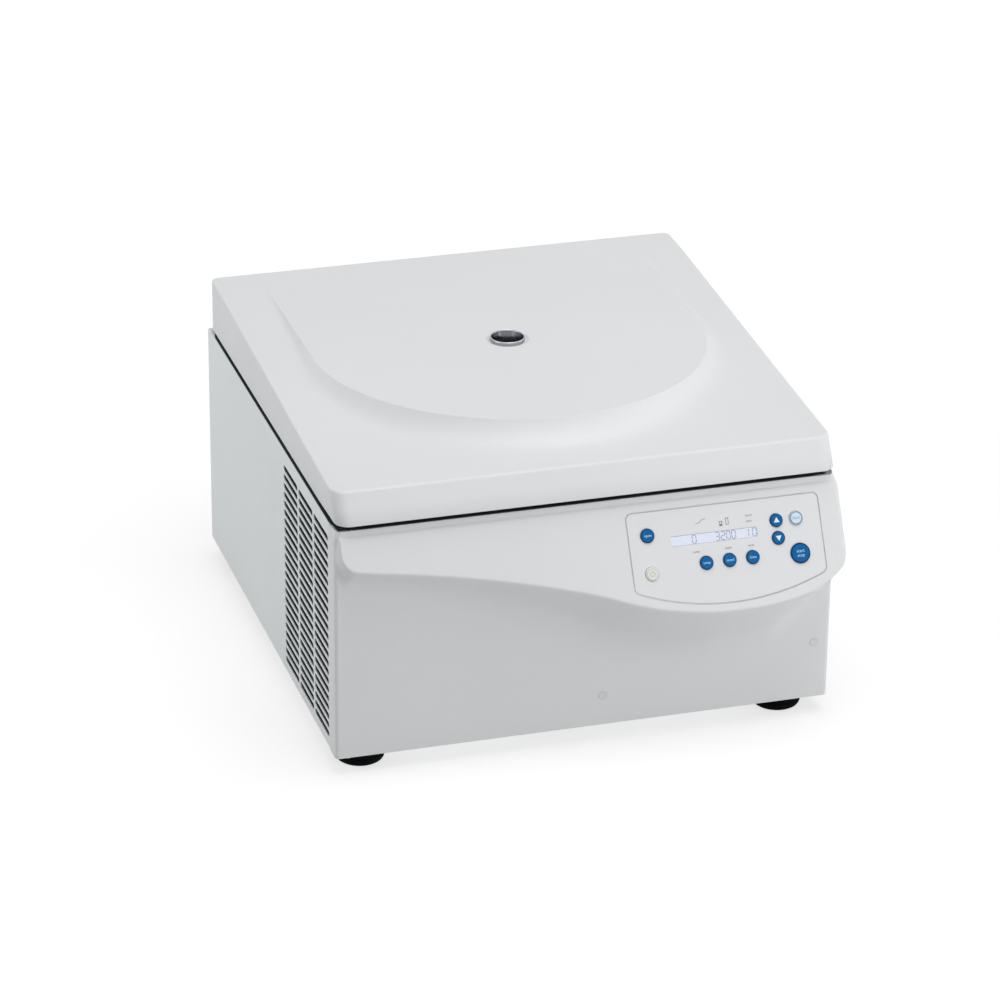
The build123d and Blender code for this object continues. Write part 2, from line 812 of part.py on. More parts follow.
def lid_outer():
    wedge = lid_block(0, lid_low)
    top = wedge.faces().sort_by(Axis.Z)[-1]
    return fillet(top.edges(), lid_edge)


def lid_disc():
    """Level plateau with a hollow-curved skirt that runs out into the slope."""
    foot = lid_top_at(rotor_y - disc_r - cove_width) - cove_sink
    depth = disc_top - foot
    r = (cove_width ** 2 + depth ** 2) / (2 * depth)
    sweep = asin(cove_width / r)
    arc = ThreePointArc(
        (disc_r, 0, disc_top),
        (disc_r + cove_width - r * sin(sweep / 2), 0, foot + r * (1 - cos(sweep / 2))),
        (disc_r + cove_width, 0, foot))
    outline = Curve() + [
        Line((0, 0, disc_top), (disc_r, 0, disc_top)), arc,
        Line((disc_r + cove_width, 0, foot), (disc_r + cove_width, 0, foot - 1)),
        Line((disc_r + cove_width, 0, foot - 1), (0, 0, foot - 1)),
        Line((0, 0, foot - 1), (0, 0, disc_top))]
    return Pos(0, axis_y, 0) * revolve(make_face(outline), Axis.Z, 360)


def lid_shell():
    within = block((-lid_half, lid_half), (y0 + lid_front_y, y0 + lid_rear_y - lid_edge),
                   (lid_low, disc_top + 1))
    shell = lid_outer() + (lid_disc() & within)
    shell -= lid_block(lid_wall, lid_low - 1)
    shell -= rod(disc_r - lid_wall, (lid_low, disc_top - lid_wall)) & within
    tube = window_r + window_tube_wall + fit
    shell -= rod(tube, (lid_low, disc_top + 1))
    for side in (-1, 1):
        w = hinge_bracket / 2 + 1.5
        shell -= block((side * hinge_x - w, side * hinge_x + w),
                       (hinge[0], y0 + lid_rear_y + 1), (lid_low - 1, hinge_z + hinge_eye))
    keep = rod_x(hinge_sweep, (-half, half), hinge[0], hinge_z)
    corner = block((-half, half), (hinge[0], y0 + lid_rear_y + 1), (lid_low - 1, hinge_z))
    return shell - (corner - keep)


def lid_liner():
    """Steel sheet that closes the chamber from above."""
    x = lid_half - lid_wall - fit
    front = y0 + lid_front_y + lid_wall + 3
    liner = block((-x, x), (front, hinge[0] - liner_rear_gap), (liner_low, liner_low + liner_sheet))
    upright = liner.edges().filter_by(Axis.Z).group_by(Axis.Y)[0]
    liner = fillet(upright, lid_corner - lid_wall)
    return liner - rod(window_r + window_tube_wall + fit / 2, (liner_low - 1, liner_low + 5))


def window_ring():
    """Chromed tube through the lid, flared over the plateau."""
    outer = window_r + window_tube_wall
    tube = ring(window_r, outer, (liner_low, disc_top + window_proud))
    rim = ring(window_r, outer + window_flange, (disc_top, disc_top + window_proud))
    ledge = ring(window_r - 1.5, window_r + 0.5,
                 (disc_top - glass_drop - glass_sheet - 2, disc_top - glass_drop - glass_sheet))
    return tube + rim + ledge


def viewing_glass():
    top = disc_top - glass_drop
    return rod(window_r - 0.1, (top - glass_sheet, top))


# ---------------------------------------------------------------- hinges
def hinge_brackets():
    made = []
    for side in (-1, 1):
        x = side * hinge_x
        w = hinge_bracket / 2
        stem = block((x - w, x + w), (hinge[0] - hinge_stem, hinge[0] + hinge_stem),
                     (deck_top, hinge_z))
        eye = rod_x(hinge_eye, (x - w, x + w), *hinge)
        foot = block((x - hinge_foot, x + hinge_foot),
                     (hinge[0] - hinge_foot, hinge[0] + hinge_stem),
                     (deck_top, deck_top + hinge_foot_sheet))
        bore = rod_x(hinge_pin_r + running, (x - w - 1, x + w + 1), *hinge)
        made.append(stem + eye + foot - bore)
    return made


def arm_centres(side):
    reach = hinge_bracket / 2 + 1 + hinge_arm / 2
    return (side * hinge_x - reach, side * hinge_x + reach)


def hinge_arms():
    """Pairs of cheeks, screwed to the liner and turning about the pins."""
    made = []
    low = liner_low + liner_sheet
    for side in (-1, 1):
        for x in arm_centres(side):
            w = hinge_arm / 2
            arm = block((x - w, x + w), (hinge[0] - hinge_arm_reach, hinge[0]),
                        (low, low + hinge_arm_height))
            arm += rod_x(hinge_eye, (x - w, x + w), *hinge)
            made.append(arm - rod_x(hinge_pin_r + 0.02, (x - w - 1, x + w + 1), *hinge))
    return made


def hinge_pins():
    made = []
    for side in (-1, 1):
        x = side * hinge_x
        reach = hinge_bracket / 2 + 1 + hinge_arm
        made.append(rod_x(hinge_pin_r, (x - reach, x + reach), *hinge))
    return made


# ---------------------------------------------------------------- latch
def latch_strikers():
    """Plates with a window, hanging from the lid into the deck."""
    made = []
    y = (y0 + striker_y - striker_sheet / 2, y0 + striker_y + striker_sheet / 2)
    for side in (-1, 1):
        x = side * latch_x
        w = striker_width / 2
        plate = block((x - w, x + w), y, (striker_low, liner_low))
        plate += block((x - w, x + w), (y[0] - 4, y[1] + 4), (liner_low - 2, liner_low))
        plate -= block((x - w + 5, x + w - 5), (y[0] - 1, y[1] + 1),
                       (striker_low + 4, striker_low + 4 + striker_window))
        made.append(plate)
    return made


def latch_point():
    return y0 + latch_shaft_y, latch_shaft_z


def latch_hooks():
    """Hooks on the latch shaft, standing clear of the strikers."""
    y, z = latch_point()
    made = []
    reach = latch_shaft_y - striker_y
    nose_z = striker_low + 4 + striker_window / 2 - 3
    for side in (-1, 1):
        x = side * latch_x
        w = hook_sheet / 2
        hook = rod_x(latch_shaft_r + 4, (x - w, x + w), y, z)
        hook += block((x - w, x + w), (y - 4, y + 4), (z, nose_z + 6))
        nose = block((x - w, x + w), (y - reach - 3, y + 4), (nose_z, nose_z + 6))
        front = nose.edges().filter_by(Axis.X).group_by(Axis.Y)[0]
        hook += chamfer(front.sort_by(Axis.Z)[-1], hook_lead)
        hook -= rod_x(latch_shaft_r + 0.02, (x - w - 1, x + w + 1), y, z)
        made.append(hook.rotate(Axis((0, y, z), (1, 0, 0)), -hook_angle))
    return made


def latch_shaft():
    y, z = latch_point()
    reach = latch_x + hook_sheet / 2 + 1 + latch_cheek + 2
    return rod_x(latch_shaft_r, (-reach, reach), y, z)


def latch_brackets():
    """Cheeks under the deck that carry the latch shaft."""
    y, z = latch_point()
    made = []
    for side in (-1, 1):
        for turn in (-1, 1):
            x = side * latch_x + turn * (hook_sheet / 2 + 1 + latch_cheek / 2)
            w = latch_cheek / 2
            cheek = block((x - w, x + w), (y - 7, y + 7), (z - 8, deck_under))
            made.append(cheek - rod_x(latch_shaft_r + running, (x - w - 1, x + w + 1), y, z))
    return made


def latch_motor():
    """Gear motor round the middle of the latch shaft, hung from the deck."""
    y, z = latch_point()
    x = latch_motor_length / 2
    body = rod_x(latch_motor_r, (-x, x), y, z)
    body += block((-x + 8, x - 8), (y - 8, y + 8), (z, deck_under))
    return body - rod_x(latch_shaft_r + running, (-x - 1, x + 1), y, z)


# ---------------------------------------------------------------- fan
fan_y = (rear - sheet - fan_depth, rear - sheet)


def fan_frame():
    frame = centred(fan_x, fan_z, fan_size, fan_size, fan_y)
    frame = fillet(frame.edges().filter_by(Axis.Y), 5.0)
    frame -= rod_y(fan_bore_r, (fan_y[0] - 1, fan_y[1] + 1), fan_x, fan_z)
    for dx, dz in corners(fan_screw_pitch / 2):
        frame -= rod_y(screw_r / 2 + fit, (fan_y[0] - 1, fan_y[1] + 1), fan_x + dx, fan_z + dz)
    hub = rod_y(fan_hub_r, (fan_y[0], fan_y[0] + 5), fan_x, fan_z)
    for step in range(3):
        strut = Pos(fan_x, fan_y[0] + 2, fan_z) * Rot(0, 30 + 120 * step, 0) * Pos(
            (fan_bore_r + 1) / 2, 0, 0) * Box(fan_bore_r + 1, 4, 5)
        hub += strut
    axle = rod_y(fan_axle_r, (fan_y[0], fan_y[1] - 6), fan_x, fan_z)
    return frame + hub + axle


def fan_rotor():
    y = (fan_y[0] + 5 + fit, fan_y[1] - 3)
    rotor = rod_y(fan_hub_r, y, fan_x, fan_z)
    span = fan_bore_r - 2 - fan_hub_r + 2
    for step in range(fan_blades):
        blade = Box(span, 1.6, 22)
        blade = Rot(34, 0, 0) * blade
        blade = Pos(fan_hub_r - 2 + span / 2, 0, 0) * blade
        turn = Pos(fan_x, (y[0] + y[1]) / 2, fan_z) * Rot(0, step * 360 / fan_blades, 0)
        rotor += turn * blade
    limit = rod_y(fan_bore_r - 1.5, y, fan_x, fan_z)
    rotor = rotor & limit
    return rotor - rod_y(fan_axle_r + running, (y[0] - 1, fan_y[1] - 6 + fit), fan_x, fan_z)


def fan_guard():
    """Finger guard: concentric wires on four struts, screwed to the rear panel."""
    y = (rear, rear + guard_wire)
    outer = rear + 2 * guard_wire
    guard = None
    for step in range(guard_rings):
        r = 8 + step * 9.6
        wire = rod_y(r + guard_wire / 2, (y[1], outer), fan_x, fan_z) - rod_y(
            r - guard_wire / 2, (y[1] - 1, outer + 1), fan_x, fan_z)
        guard = wire if guard is None else guard + wire
    reach = fan_screw_pitch / 2
    length = hypot(reach, reach) * 2 + 6
    for turn in (45, 135):
        bar = Box(length, guard_wire, 3)
        guard += Pos(fan_x, rear + guard_wire / 2, fan_z) * Rot(0, turn, 0) * bar
    for dx, dz in corners(reach):
        eye = rod_y(5, y, fan_x + dx, fan_z + dz)
        guard += eye
    for dx, dz in corners(reach):
        guard -= rod_y(screw_r / 2 + fit, (rear - 1, outer + 1), fan_x + dx, fan_z + dz)
    return guard


# ---------------------------------------------------------------- rear fittings
def mains_inlet():
    """Three-pole inlet: flanged body, socket and its three blades."""
    deep = rear - inlet_depth
    body = centred(inlet_x, inlet_z, inlet_width + 4, inlet_height + 4, (deep - 3, rear))
    flange = centred(inlet_x, inlet_z, inlet_flange_w, inlet_flange_h, (rear, rear + 2))
    body += fillet(flange.edges().filter_by(Axis.Y), 4.0)
    socket = centred(inlet_x, inlet_z, inlet_width, inlet_height, (deep, rear + 3))
    top = socket.edges().filter_by(Axis.Y).group_by(Axis.Z)[-1]
    body -= chamfer(top, 5.0)
    for dx, dz in ((-7, -2), (0, 3), (7, -2)):
        body += centred(inlet_x + dx, inlet_z + dz, 2, 4.5, (deep - 1, rear - 6))
    return body


def switch_frame():
    frame = centred(rocker_x, inlet_z, rocker_width, rocker_height, (rear - rocker_depth, rear))
    flange = centred(rocker_x, inlet_z, rocker_width + 6, rocker_height + 6, (rear, rear + 1.5))
    frame += fillet(flange.edges().filter_by(Axis.Y), 2.0)
    frame -= centred(rocker_x, inlet_z, rocker_width - 4, rocker_height - 4,
                     (rear - rocker_depth + 2, rear + 2))
    w = rocker_width / 2 - 1
    return frame + rod_x(rocker_pin_r, (rocker_x - w, rocker_x + w), rear - 6, inlet_z)


def power_rocker():
    """Rocker on its cross pin, one end pressed in."""
    w = rocker_width / 2 - 2 - fit
    h = rocker_height / 2 - 3.0
    y = rear - 6
    points = [(y - 5, inlet_z - h + 4), (y + 4.5, inlet_z - h), (y + 6.8, inlet_z - h + 0.6),
              (y + 4.4, inlet_z), (y + 6.8, inlet_z + h - 0.6), (y + 4.5, inlet_z + h),
              (y - 5, inlet_z + h - 4)]
    rocker = side_profile(points, (rocker_x - w, rocker_x + w))
    rocker -= rod_x(rocker_pin_r + running, (rocker_x - w - 1, rocker_x + w + 1), y, inlet_z)
    return rocker.rotate(Axis((0, y, inlet_z), (1, 0, 0)), rocker_tilt)


def power_board():
    """Drive electronics on standoffs behind the left side panel."""
    low = foot_height + base_sheet
    x = (-half + board_side, -half + board_side + board_width)
    posts = axis_y - post_reach * sin(pi / 4) - guard_post_r
    y = (y0 + board_front, posts - board_post_gap)
    top = low + board_stand + board_sheet
    board = block(x, y, (low + board_stand, top))
    inset = 2 * screw_r
    for sx in (x[0] + inset, x[1] - inset):
        for sy in (y[0] + inset, y[1] - inset):
            board += rod(screw_r, (low, low + board_stand), sx, sy)
    for step in range(4):
        place = y[0] + capacitor_pitch * (step + 0.8)
        board += rod(capacitor_r, (top, top + capacitor_height), x[0] + 2.5 * capacitor_r, place)
    sides = (y[0] + capacitor_r, y[1] - capacitor_r)
    fins_x = x[1] - capacitor_r - 4 * fin_pitch
    sink = block((fins_x, fins_x + 4 * fin_pitch + 2), sides, (top, top + 4))
    for step in range(5):
        fin = fins_x + step * fin_pitch
        sink += block((fin, fin + 2), sides, (top + 4, top + 4 + fin_height))
    return board + sink


def mains_transformer():
    """Laminated core on the base with its winding through the middle."""
    low = foot_height + base_sheet
    x = half - transformer_side - transformer_x
    y = y0 + transformer_front
    limb = transformer_x / 6
    core = block((x, x + transformer_x), (y + 12, y + transformer_y - 12),
                 (low, low + transformer_z))
    coil = block((x + limb, x + transformer_x - limb), (y, y + transformer_y),
                 (low + limb / 2, low + transformer_z - limb / 2))
    return core + fillet(coil.edges().filter_by(Axis.X), 6.0)


# ---------------------------------------------------------------- screws
def pan_head_y(x, z, y, length):
    """Pan-head screw pointing forward into the rear panel, head at the back."""
    head = rod_y(screw_r, (y, y + screw_head), x, z)
    head = chamfer(head.edges().group_by(Axis.Y)[-1], 0.6)
    shank = rod_y(screw_r / 2, (y - length, y), x, z)
    return head + shank


def fan_screws():
    made = []
    for dx, dz in corners(fan_screw_pitch / 2):
        made.append(pan_head_y(fan_x + dx, fan_z + dz, rear + guard_wire, fan_screw_length))
    return made


def rear_screws():
    return [pan_head_y(x, z, rear, rear_screw_length) for x, z in rear_screw_places()]


def build():
    os.makedirs("parts", exist_ok=True)
    save("base_plate", base_plate())
    save("feet", *feet())
    save("left_side_panel", side_panel(-1))
    save("right_side_panel", side_panel(1))
    save("rear_panel", rear_panel())
    save("front_panel", front_panel())
    save("front_plugs", *front_plugs())
    save("control_overlay", control_overlay())
    save("display_lens", display_lens())
    save("display_module", display_module())
    save("control_board", control_board())
    for name in keys:
        save(name, key(name))
    save("deck_plate", deck_plate())
    save("rotor_chamber", rotor_chamber())
    save("chamber_gasket", chamber_gasket())
    save("guard_ring", guard_ring())
    save("guard_posts", *guard_posts())
    save("shaft_seal", shaft_seal())
    save("motor_housing", motor_housing())
    save("motor_bearings", *motor_bearings())
    save("motor_stator", motor_stator())
    save("motor_magnet", motor_magnet())
    save("motor_dampers", *motor_dampers())
    save("motor_shaft", motor_shaft())
    save("rotor_head", rotor_head())
    save("trunnion_pins", *trunnion_pins())
    save("rotor_nut", rotor_nut())
    save("plate_carrier_a", plate_carrier(1))
    save("plate_carrier_b", plate_carrier(-1))
    save("lid_shell", lid_shell())
    save("lid_liner", lid_liner())
    save("window_ring", window_ring())
    save("viewing_glass", viewing_glass())
    save("hinge_brackets", *hinge_brackets())
    save("hinge_arms", *hinge_arms())
    save("hinge_pins", *hinge_pins())
    save("latch_strikers", *latch_strikers())
    save("latch_hooks", *latch_hooks())
    save("latch_shaft", latch_shaft())
    save("latch_brackets", *latch_brackets())
    save("latch_motor", latch_motor())
    save("fan_frame", fan_frame())
    save("fan_rotor", fan_rotor())
    save("fan_guard", fan_guard())
    save("fan_screws", *fan_screws())
    save("rear_screws", *rear_screws())
    save("mains_inlet", mains_inlet())
    save("switch_frame", switch_frame())
    save("power_rocker", power_rocker())
    save("power_board", power_board())
    save("mains_transformer", mains_transformer())


build()
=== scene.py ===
# %% [markdown]
# # A plate centrifuge for the bench
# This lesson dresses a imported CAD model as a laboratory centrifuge: a boxy grey housing with a
# flowing control console, under a lid with a low round plateau and a sight glass.
# The CAD solids say where everything is. Here each visible piece gets its final skin and finish.

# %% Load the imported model
import math
import bmesh
import bpy
import numpy as np
from mathutils import Matrix, Vector


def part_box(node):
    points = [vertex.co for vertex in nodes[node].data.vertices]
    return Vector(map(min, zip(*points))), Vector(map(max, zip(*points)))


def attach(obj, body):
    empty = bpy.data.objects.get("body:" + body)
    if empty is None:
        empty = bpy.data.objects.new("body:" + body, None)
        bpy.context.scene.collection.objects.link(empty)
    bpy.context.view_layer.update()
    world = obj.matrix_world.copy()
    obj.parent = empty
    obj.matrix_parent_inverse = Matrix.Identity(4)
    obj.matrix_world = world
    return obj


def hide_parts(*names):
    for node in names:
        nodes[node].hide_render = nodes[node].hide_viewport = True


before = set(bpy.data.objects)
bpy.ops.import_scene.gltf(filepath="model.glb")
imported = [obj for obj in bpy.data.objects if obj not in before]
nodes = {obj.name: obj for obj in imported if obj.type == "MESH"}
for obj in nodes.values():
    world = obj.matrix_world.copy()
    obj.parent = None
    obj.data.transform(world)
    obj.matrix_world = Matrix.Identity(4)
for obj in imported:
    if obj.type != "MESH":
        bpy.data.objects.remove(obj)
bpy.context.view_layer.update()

# %% [markdown]
# ## Measures
# Lengths are written in millimetres, as on a drawing, and `mm` turns them into metres.
# The rear panel is the datum: the front panel's plane lies 550 mm before it.

# %% Units and datums
mm = 0.001
DEPTH = 550         # from the front panel's plane to the rear panel's back
AXIS_IN = 291       # from the front panel's plane to the rotor's axis
HALF = 267.5        # half the housing's width
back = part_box("rear_panel")[1].y
front = back - DEPTH * mm
axis_y = front + AXIS_IN * mm
front_mm, axis_mm, back_mm = front / mm, axis_y / mm, back / mm
print("front plane at y =", round(front_mm, 2), "mm, rotor axis at y =", round(axis_mm, 2), "mm")

# %% [markdown]
# ## Mesh helpers
# Every new skin is made from plain lists of points and faces. `make` turns them into an object
# that rides on its body and hides the CAD nodes that it stands for.

# %% Making pieces
def outward(mesh):
    """Point all faces of a closed mesh outward."""
    bm = bmesh.new()
    bm.from_mesh(mesh)
    bmesh.ops.recalc_face_normals(bm, faces=bm.faces)
    bm.to_mesh(mesh)
    bm.free()


def closed_mesh(name, verts, faces):
    """A closed mesh from points in millimetres, part frame."""
    mesh = bpy.data.meshes.new(name)
    mesh.from_pydata([(x * mm, y * mm, z * mm) for x, y, z in verts], [], faces)
    mesh.validate()
    outward(mesh)
    return mesh


def adopt(name, mesh, body, material, stands_for=(), smooth=35.0):
    """A finished mesh becomes a piece of the object."""
    piece = bpy.data.objects.new(name, mesh)
    bpy.context.scene.collection.objects.link(piece)
    mesh.materials.clear()
    mesh.materials.append(material)
    mesh.shade_smooth()
    mesh.set_sharp_from_angle(angle=math.radians(smooth))
    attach(piece, body)
    if stands_for:
        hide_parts(*stands_for)
    return piece


def make(name, verts, faces, body, slot, material, stands_for=(), smooth=35.0):
    """A piece from points in millimetres and faces."""
    return adopt(name, closed_mesh(name, verts, faces), body, material, stands_for, smooth)


print("pieces can be made")

# %% [markdown]
# A working object carries modifiers for a while. `settled` reads the finished mesh off it, and
# `cut` takes holes out of it with the exact boolean. Holes laid into the faces by hand would need
# their edges matched point by point.

# %% Modifiers and cuts
def scratch(mesh):
    """A working object that is thrown away later."""
    obj = bpy.data.objects.new("scratch", mesh)
    bpy.context.scene.collection.objects.link(obj)
    return obj


def settled(obj):
    """The object's mesh with its modifiers worked out; the modifiers then go."""
    graph = bpy.context.evaluated_depsgraph_get()
    mesh = bpy.data.meshes.new_from_object(obj.evaluated_get(graph), depsgraph=graph)
    obj.modifiers.clear()
    return mesh


def cut_by(obj, tools):
    """The object's mesh less the tool objects, which are thrown away."""
    for tool in tools:
        modifier = obj.modifiers.new("cut", "BOOLEAN")
        modifier.operation = "DIFFERENCE"
        modifier.solver = "EXACT"
        modifier.object = tool
    mesh = settled(obj)
    for tool in tools:
        bpy.data.objects.remove(tool)
    return mesh


def cut(obj, solids):
    """The same with tools given as (points in millimetres, faces)."""
    return cut_by(obj, [scratch(closed_mesh("cutter", *solid)) for solid in solids])


print("pieces can be cut")

# %% [markdown]
# Most forms here come from a few kinds: arcs, forms turned on a lathe, and blocks or strips drawn
# out between two loops of points. Each gets one function. A turned form is a profile of radius
# and height, as on a lathe, and that is all there is to say of a foot, a collar or a plug.

# %% Round lines and turned forms
def arc(cx, cy, r, start, sweep, steps):
    """Points along a round stretch; angles in degrees."""
    angles = [math.radians(start + sweep * k / steps) for k in range(steps + 1)]
    return [(cx + r * math.cos(a), cy + r * math.sin(a)) for a in angles]


def rounded(x0, x1, y0, y1, r, steps=4):
    """Outline of a rectangle with round corners."""
    points = []
    for cx, cy, start in ((x1 - r, y1 - r, 0), (x0 + r, y1 - r, 90), (x0 + r, y0 + r, 180),
                          (x1 - r, y0 + r, 270)):
        points += arc(cx, cy, r, start, 90, steps)
    return points


def lathe(profile, steps, centre=(0, 0), axis="z"):
    """Turn (radius, height) points about an upright axis, or one along Y."""
    verts, rows = [], []
    for r, h in profile:
        count = 1 if r < 1e-6 else steps
        rows.append(list(range(len(verts), len(verts) + count)))
        for k in range(count):
            a = 2 * math.pi * k / steps
            u, v = centre[0] + r * math.cos(a), centre[1] + r * math.sin(a)
            verts.append((u, v, h) if axis == "z" else (u, h, v))
    faces = []
    for low, high in zip(rows, rows[1:]):
        for k in range(steps):
            a, b = low[k % len(low)], low[(k + 1) % len(low)]
            c, d = high[(k + 1) % len(high)], high[k % len(high)]
            # At a pole two corners of the face are one point.
            face = list(dict.fromkeys([a, b, c, d]))
            if len(face) > 2:
                faces.append(face if axis == "z" else face[::-1])
    return verts, faces


print("a round corner has", len(arc(0, 0, 1, 0, 90, 4)), "points")

# %% [markdown]
# Everything else is rows of points with quads between them. A tube gets its ends shut, a solid
# runs from one loop of points to another, and a block is the plainest case. Forms that make up
# one piece are joined before Blender sees them.

# %% Faces between rows of points
def joined(parts):
    """Several (points, faces) pairs as one."""
    verts, faces = [], []
    for v, f in parts:
        start = len(verts)
        verts += v
        faces += [[i + start for i in face] for face in f]
    return verts, faces


def grid_faces(rows, columns, closed=False):
    """Quads between rows of equally many points; a closed row runs back to its start."""
    faces = []
    for i in range(rows - 1):
        for j in range(columns - (0 if closed else 1)):
            k = (j + 1) % columns
            faces.append((i * columns + j, i * columns + k, (i + 1) * columns + k, (i + 1) * columns + j))
    return faces


def capped(rows, columns):
    """A tube of closed rows of points, shut at both ends."""
    last = (rows - 1) * columns
    return grid_faces(rows, columns, closed=True) + [list(range(columns))[::-1],
                                                     list(range(last, last + columns))]


def between(near, far):
    """A solid between two loops of equally many points."""
    count = len(near)
    caps = [list(range(count)), list(range(2 * count - 1, count - 1, -1))]
    walls = [(k, (k + 1) % count, count + (k + 1) % count, count + k) for k in range(count)]
    return near + far, caps + walls


def boxed(x, y, z):
    """A plain block between two values along each axis."""
    verts = [(a, b, c) for a in x for b in y for c in z]
    return verts, [(0, 1, 3, 2), (4, 6, 7, 5), (0, 4, 5, 1), (2, 3, 7, 6), (0, 2, 6, 4), (1, 5, 7, 3)]


print("form helpers ready")

# %% [markdown]
# ## Materials
# Paint and plastic are never one flat colour. `coat`, further down, gives every opaque finish a
# cloudy colour, a fine surface grain, uneven gloss and edges that are a little rubbed. All
# patterns are fixed to the piece by its Object coordinates. Colours are written as they are read
# from a screen and turned into the linear values that shaders work with.

# %% Colours
def srgb(r, g, b):
    """A colour as read from a screen, 0 to 255, turned into the linear values that shaders use."""
    out = []
    for v in (r, g, b):
        v /= 255
        out.append(v / 12.92 if v <= 0.04045 else ((v + 0.055) / 1.055) ** 2.4)
    return out[0], out[1], out[2], 1.0


def times(colour, share):
    """A linear colour made darker or lighter."""
    return tuple(min(1, v * share) for v in colour[:3]) + (1.0,)


print("middle grey is", round(srgb(128, 128, 128)[0], 3), "in linear light")

# %% [markdown]
# Node trees are long to write and hard to read when every node and link has a line of its own.
# `Number` lets a node's output be reckoned with like a number, so that a formula in a tree looks
# like the formula.

# %% Numbers in a node tree
class Number:
    """A node's output; each sign or step adds a Math node to its tree."""

    def __init__(self, pen, socket):
        self.pen = pen
        self.socket = socket

    def __add__(self, other):
        return self.pen.math("ADD", self, other)

    def __sub__(self, other):
        return self.pen.math("SUBTRACT", self, other)

    def __rsub__(self, other):
        return self.pen.math("SUBTRACT", other, self)

    def __mul__(self, other):
        return self.pen.math("MULTIPLY", self, other)

    def __truediv__(self, other):
        return self.pen.math("DIVIDE", self, other)

    def at_most(self, other):
        return self.pen.math("MINIMUM", self, other)

    def at_least(self, other):
        return self.pen.math("MAXIMUM", self, other)

    def root(self):
        return self.pen.math("SQRT", self)


print("formulas can be written")

# %% [markdown]
# `Shading` is the pen: it adds a node, fills its inputs and links them in one call. The same pen
# writes materials and Geometry Nodes rules.

# %% A pen for node trees
class Shading:
    """Adds nodes to a tree; a value may be a number, a vector or another node's output."""

    def __init__(self, tree):
        self.tree = tree

    def put(self, socket, value):
        if isinstance(value, Number):
            value = value.socket
        if isinstance(value, bpy.types.NodeSocket):
            self.tree.links.new(value, socket)
        elif value is not None:
            socket.default_value = value

    def fill(self, node, values):
        """Set a node's inputs, given by name or by number."""
        for key, value in values.items():
            self.put(node.inputs[key], value)

    def node(self, kind, values=None, **settings):
        made = self.tree.nodes.new(kind)
        for key, value in settings.items():
            setattr(made, key, value)
        self.fill(made, values or {})
        return made

    def math(self, how, a, b=None, c=None):
        return Number(self, self.node("ShaderNodeMath", {0: a, 1: b, 2: c}, operation=how).outputs[0])

    def noise(self, where, scale, detail=3.0, rough=0.5):
        return self.node("ShaderNodeTexNoise", {"Vector": where, "Scale": scale, "Detail": detail,
                                                "Roughness": rough}).outputs["Fac"]

    def stretch(self, where, scale):
        return self.node("ShaderNodeMapping", {"Vector": where, "Scale": scale}).outputs[0]

    def range(self, value, low, high, to_low, to_high):
        return self.node("ShaderNodeMapRange",
                         {0: value, 1: low, 2: high, 3: to_low, 4: to_high}).outputs[0]

    def spread(self, noise, low, high):
        """Noise keeps between about 0.3 and 0.7; this makes it run from low to high."""
        return self.range(noise, 0.3, 0.7, low, high)

    def mix(self, factor, a, b):
        return self.node("ShaderNodeMix", {0: factor, 6: a, 7: b}, data_type="RGBA").outputs[2]

    def bump(self, height, strength, distance):
        return self.node("ShaderNodeBump", {"Height": height, "Strength": strength,
                                            "Distance": distance}).outputs[0]

    def parts(self, vector):
        return [Number(self, socket) for socket in self.node("ShaderNodeSeparateXYZ", {0: vector}).outputs]

    def vector(self, x, y, z):
        return self.node("ShaderNodeCombineXYZ", {0: x, 1: y, 2: z}).outputs[0]


print("pen ready")

# %% [markdown]
# A real coat rubs off first on its outer edges. The Bevel node finds them: the rounded normal
# that it gives parts from the true one there and nowhere else, so no edge has to be painted by
# hand.

# %% An opaque finish
def blank(name):
    """A new material with its tree, its shader and Object coordinates."""
    material = bpy.data.materials.new(name)
    material.use_nodes = True
    pen = Shading(material.node_tree)
    shader = material.node_tree.nodes["Principled BSDF"]
    where = pen.node("ShaderNodeTexCoord").outputs["Object"]
    return material, pen, shader, where


def edge_mask(pen, radius):
    """1 on sharp outer edges, 0 on flat ground: rounded normals against the true ones."""
    bevel = pen.node("ShaderNodeBevel", {"Radius": radius}, samples=4)
    true_normal = pen.node("ShaderNodeNewGeometry").outputs["Normal"]
    dot = pen.node("ShaderNodeVectorMath", {0: bevel.outputs[0], 1: true_normal},
                   operation="DOT_PRODUCT")
    return pen.range(dot.outputs["Value"], 0.995, 0.80, 0.0, 1.0)


def coat(name, colour, rough, metal=0.0, cloud=0.006, grain=(900, 0.06, 0.0001), wear=0.10,
         worn=(240, 240, 240), brushed=None, specular=0.5):
    """An opaque finish. grain is (scale, strength, depth); brushed stretches it into lines."""
    material, pen, shader, where = blank(name)
    scale, strength, depth = grain
    base = srgb(*colour)
    darker = times(base, 1 - 2 * cloud)
    patches = pen.spread(pen.noise(where, 4.0, 3.0), 0.0, 1.0)
    tone = pen.mix(patches, darker, times(base, 1 + 2 * cloud))
    fine = pen.noise(pen.stretch(where, brushed) if brushed else where, scale, 2.0, 0.6)
    tone = pen.mix(pen.spread(fine, 0.0, cloud), tone, darker)
    rubbed = pen.math("MULTIPLY", edge_mask(pen, 0.0006), pen.noise(where, 60.0, 3.0))
    tone = pen.mix(rubbed * wear, tone, srgb(*worn))
    pen.fill(shader, {
        "Base Color": tone,
        "Roughness": pen.spread(pen.noise(where, 23.0, 5.0), rough - 0.04, rough + 0.04),
        "Metallic": metal,
        "Specular IOR Level": specular,
        "Normal": pen.bump(fine, strength, depth),
    })
    return material


print("coat is ready")

# %% [markdown]
# The painted steel and the front and lid mouldings are nearly the same light grey. The paint has
# the soft orange peel of a powder coat, and the mouldings have a finer, drier texture.

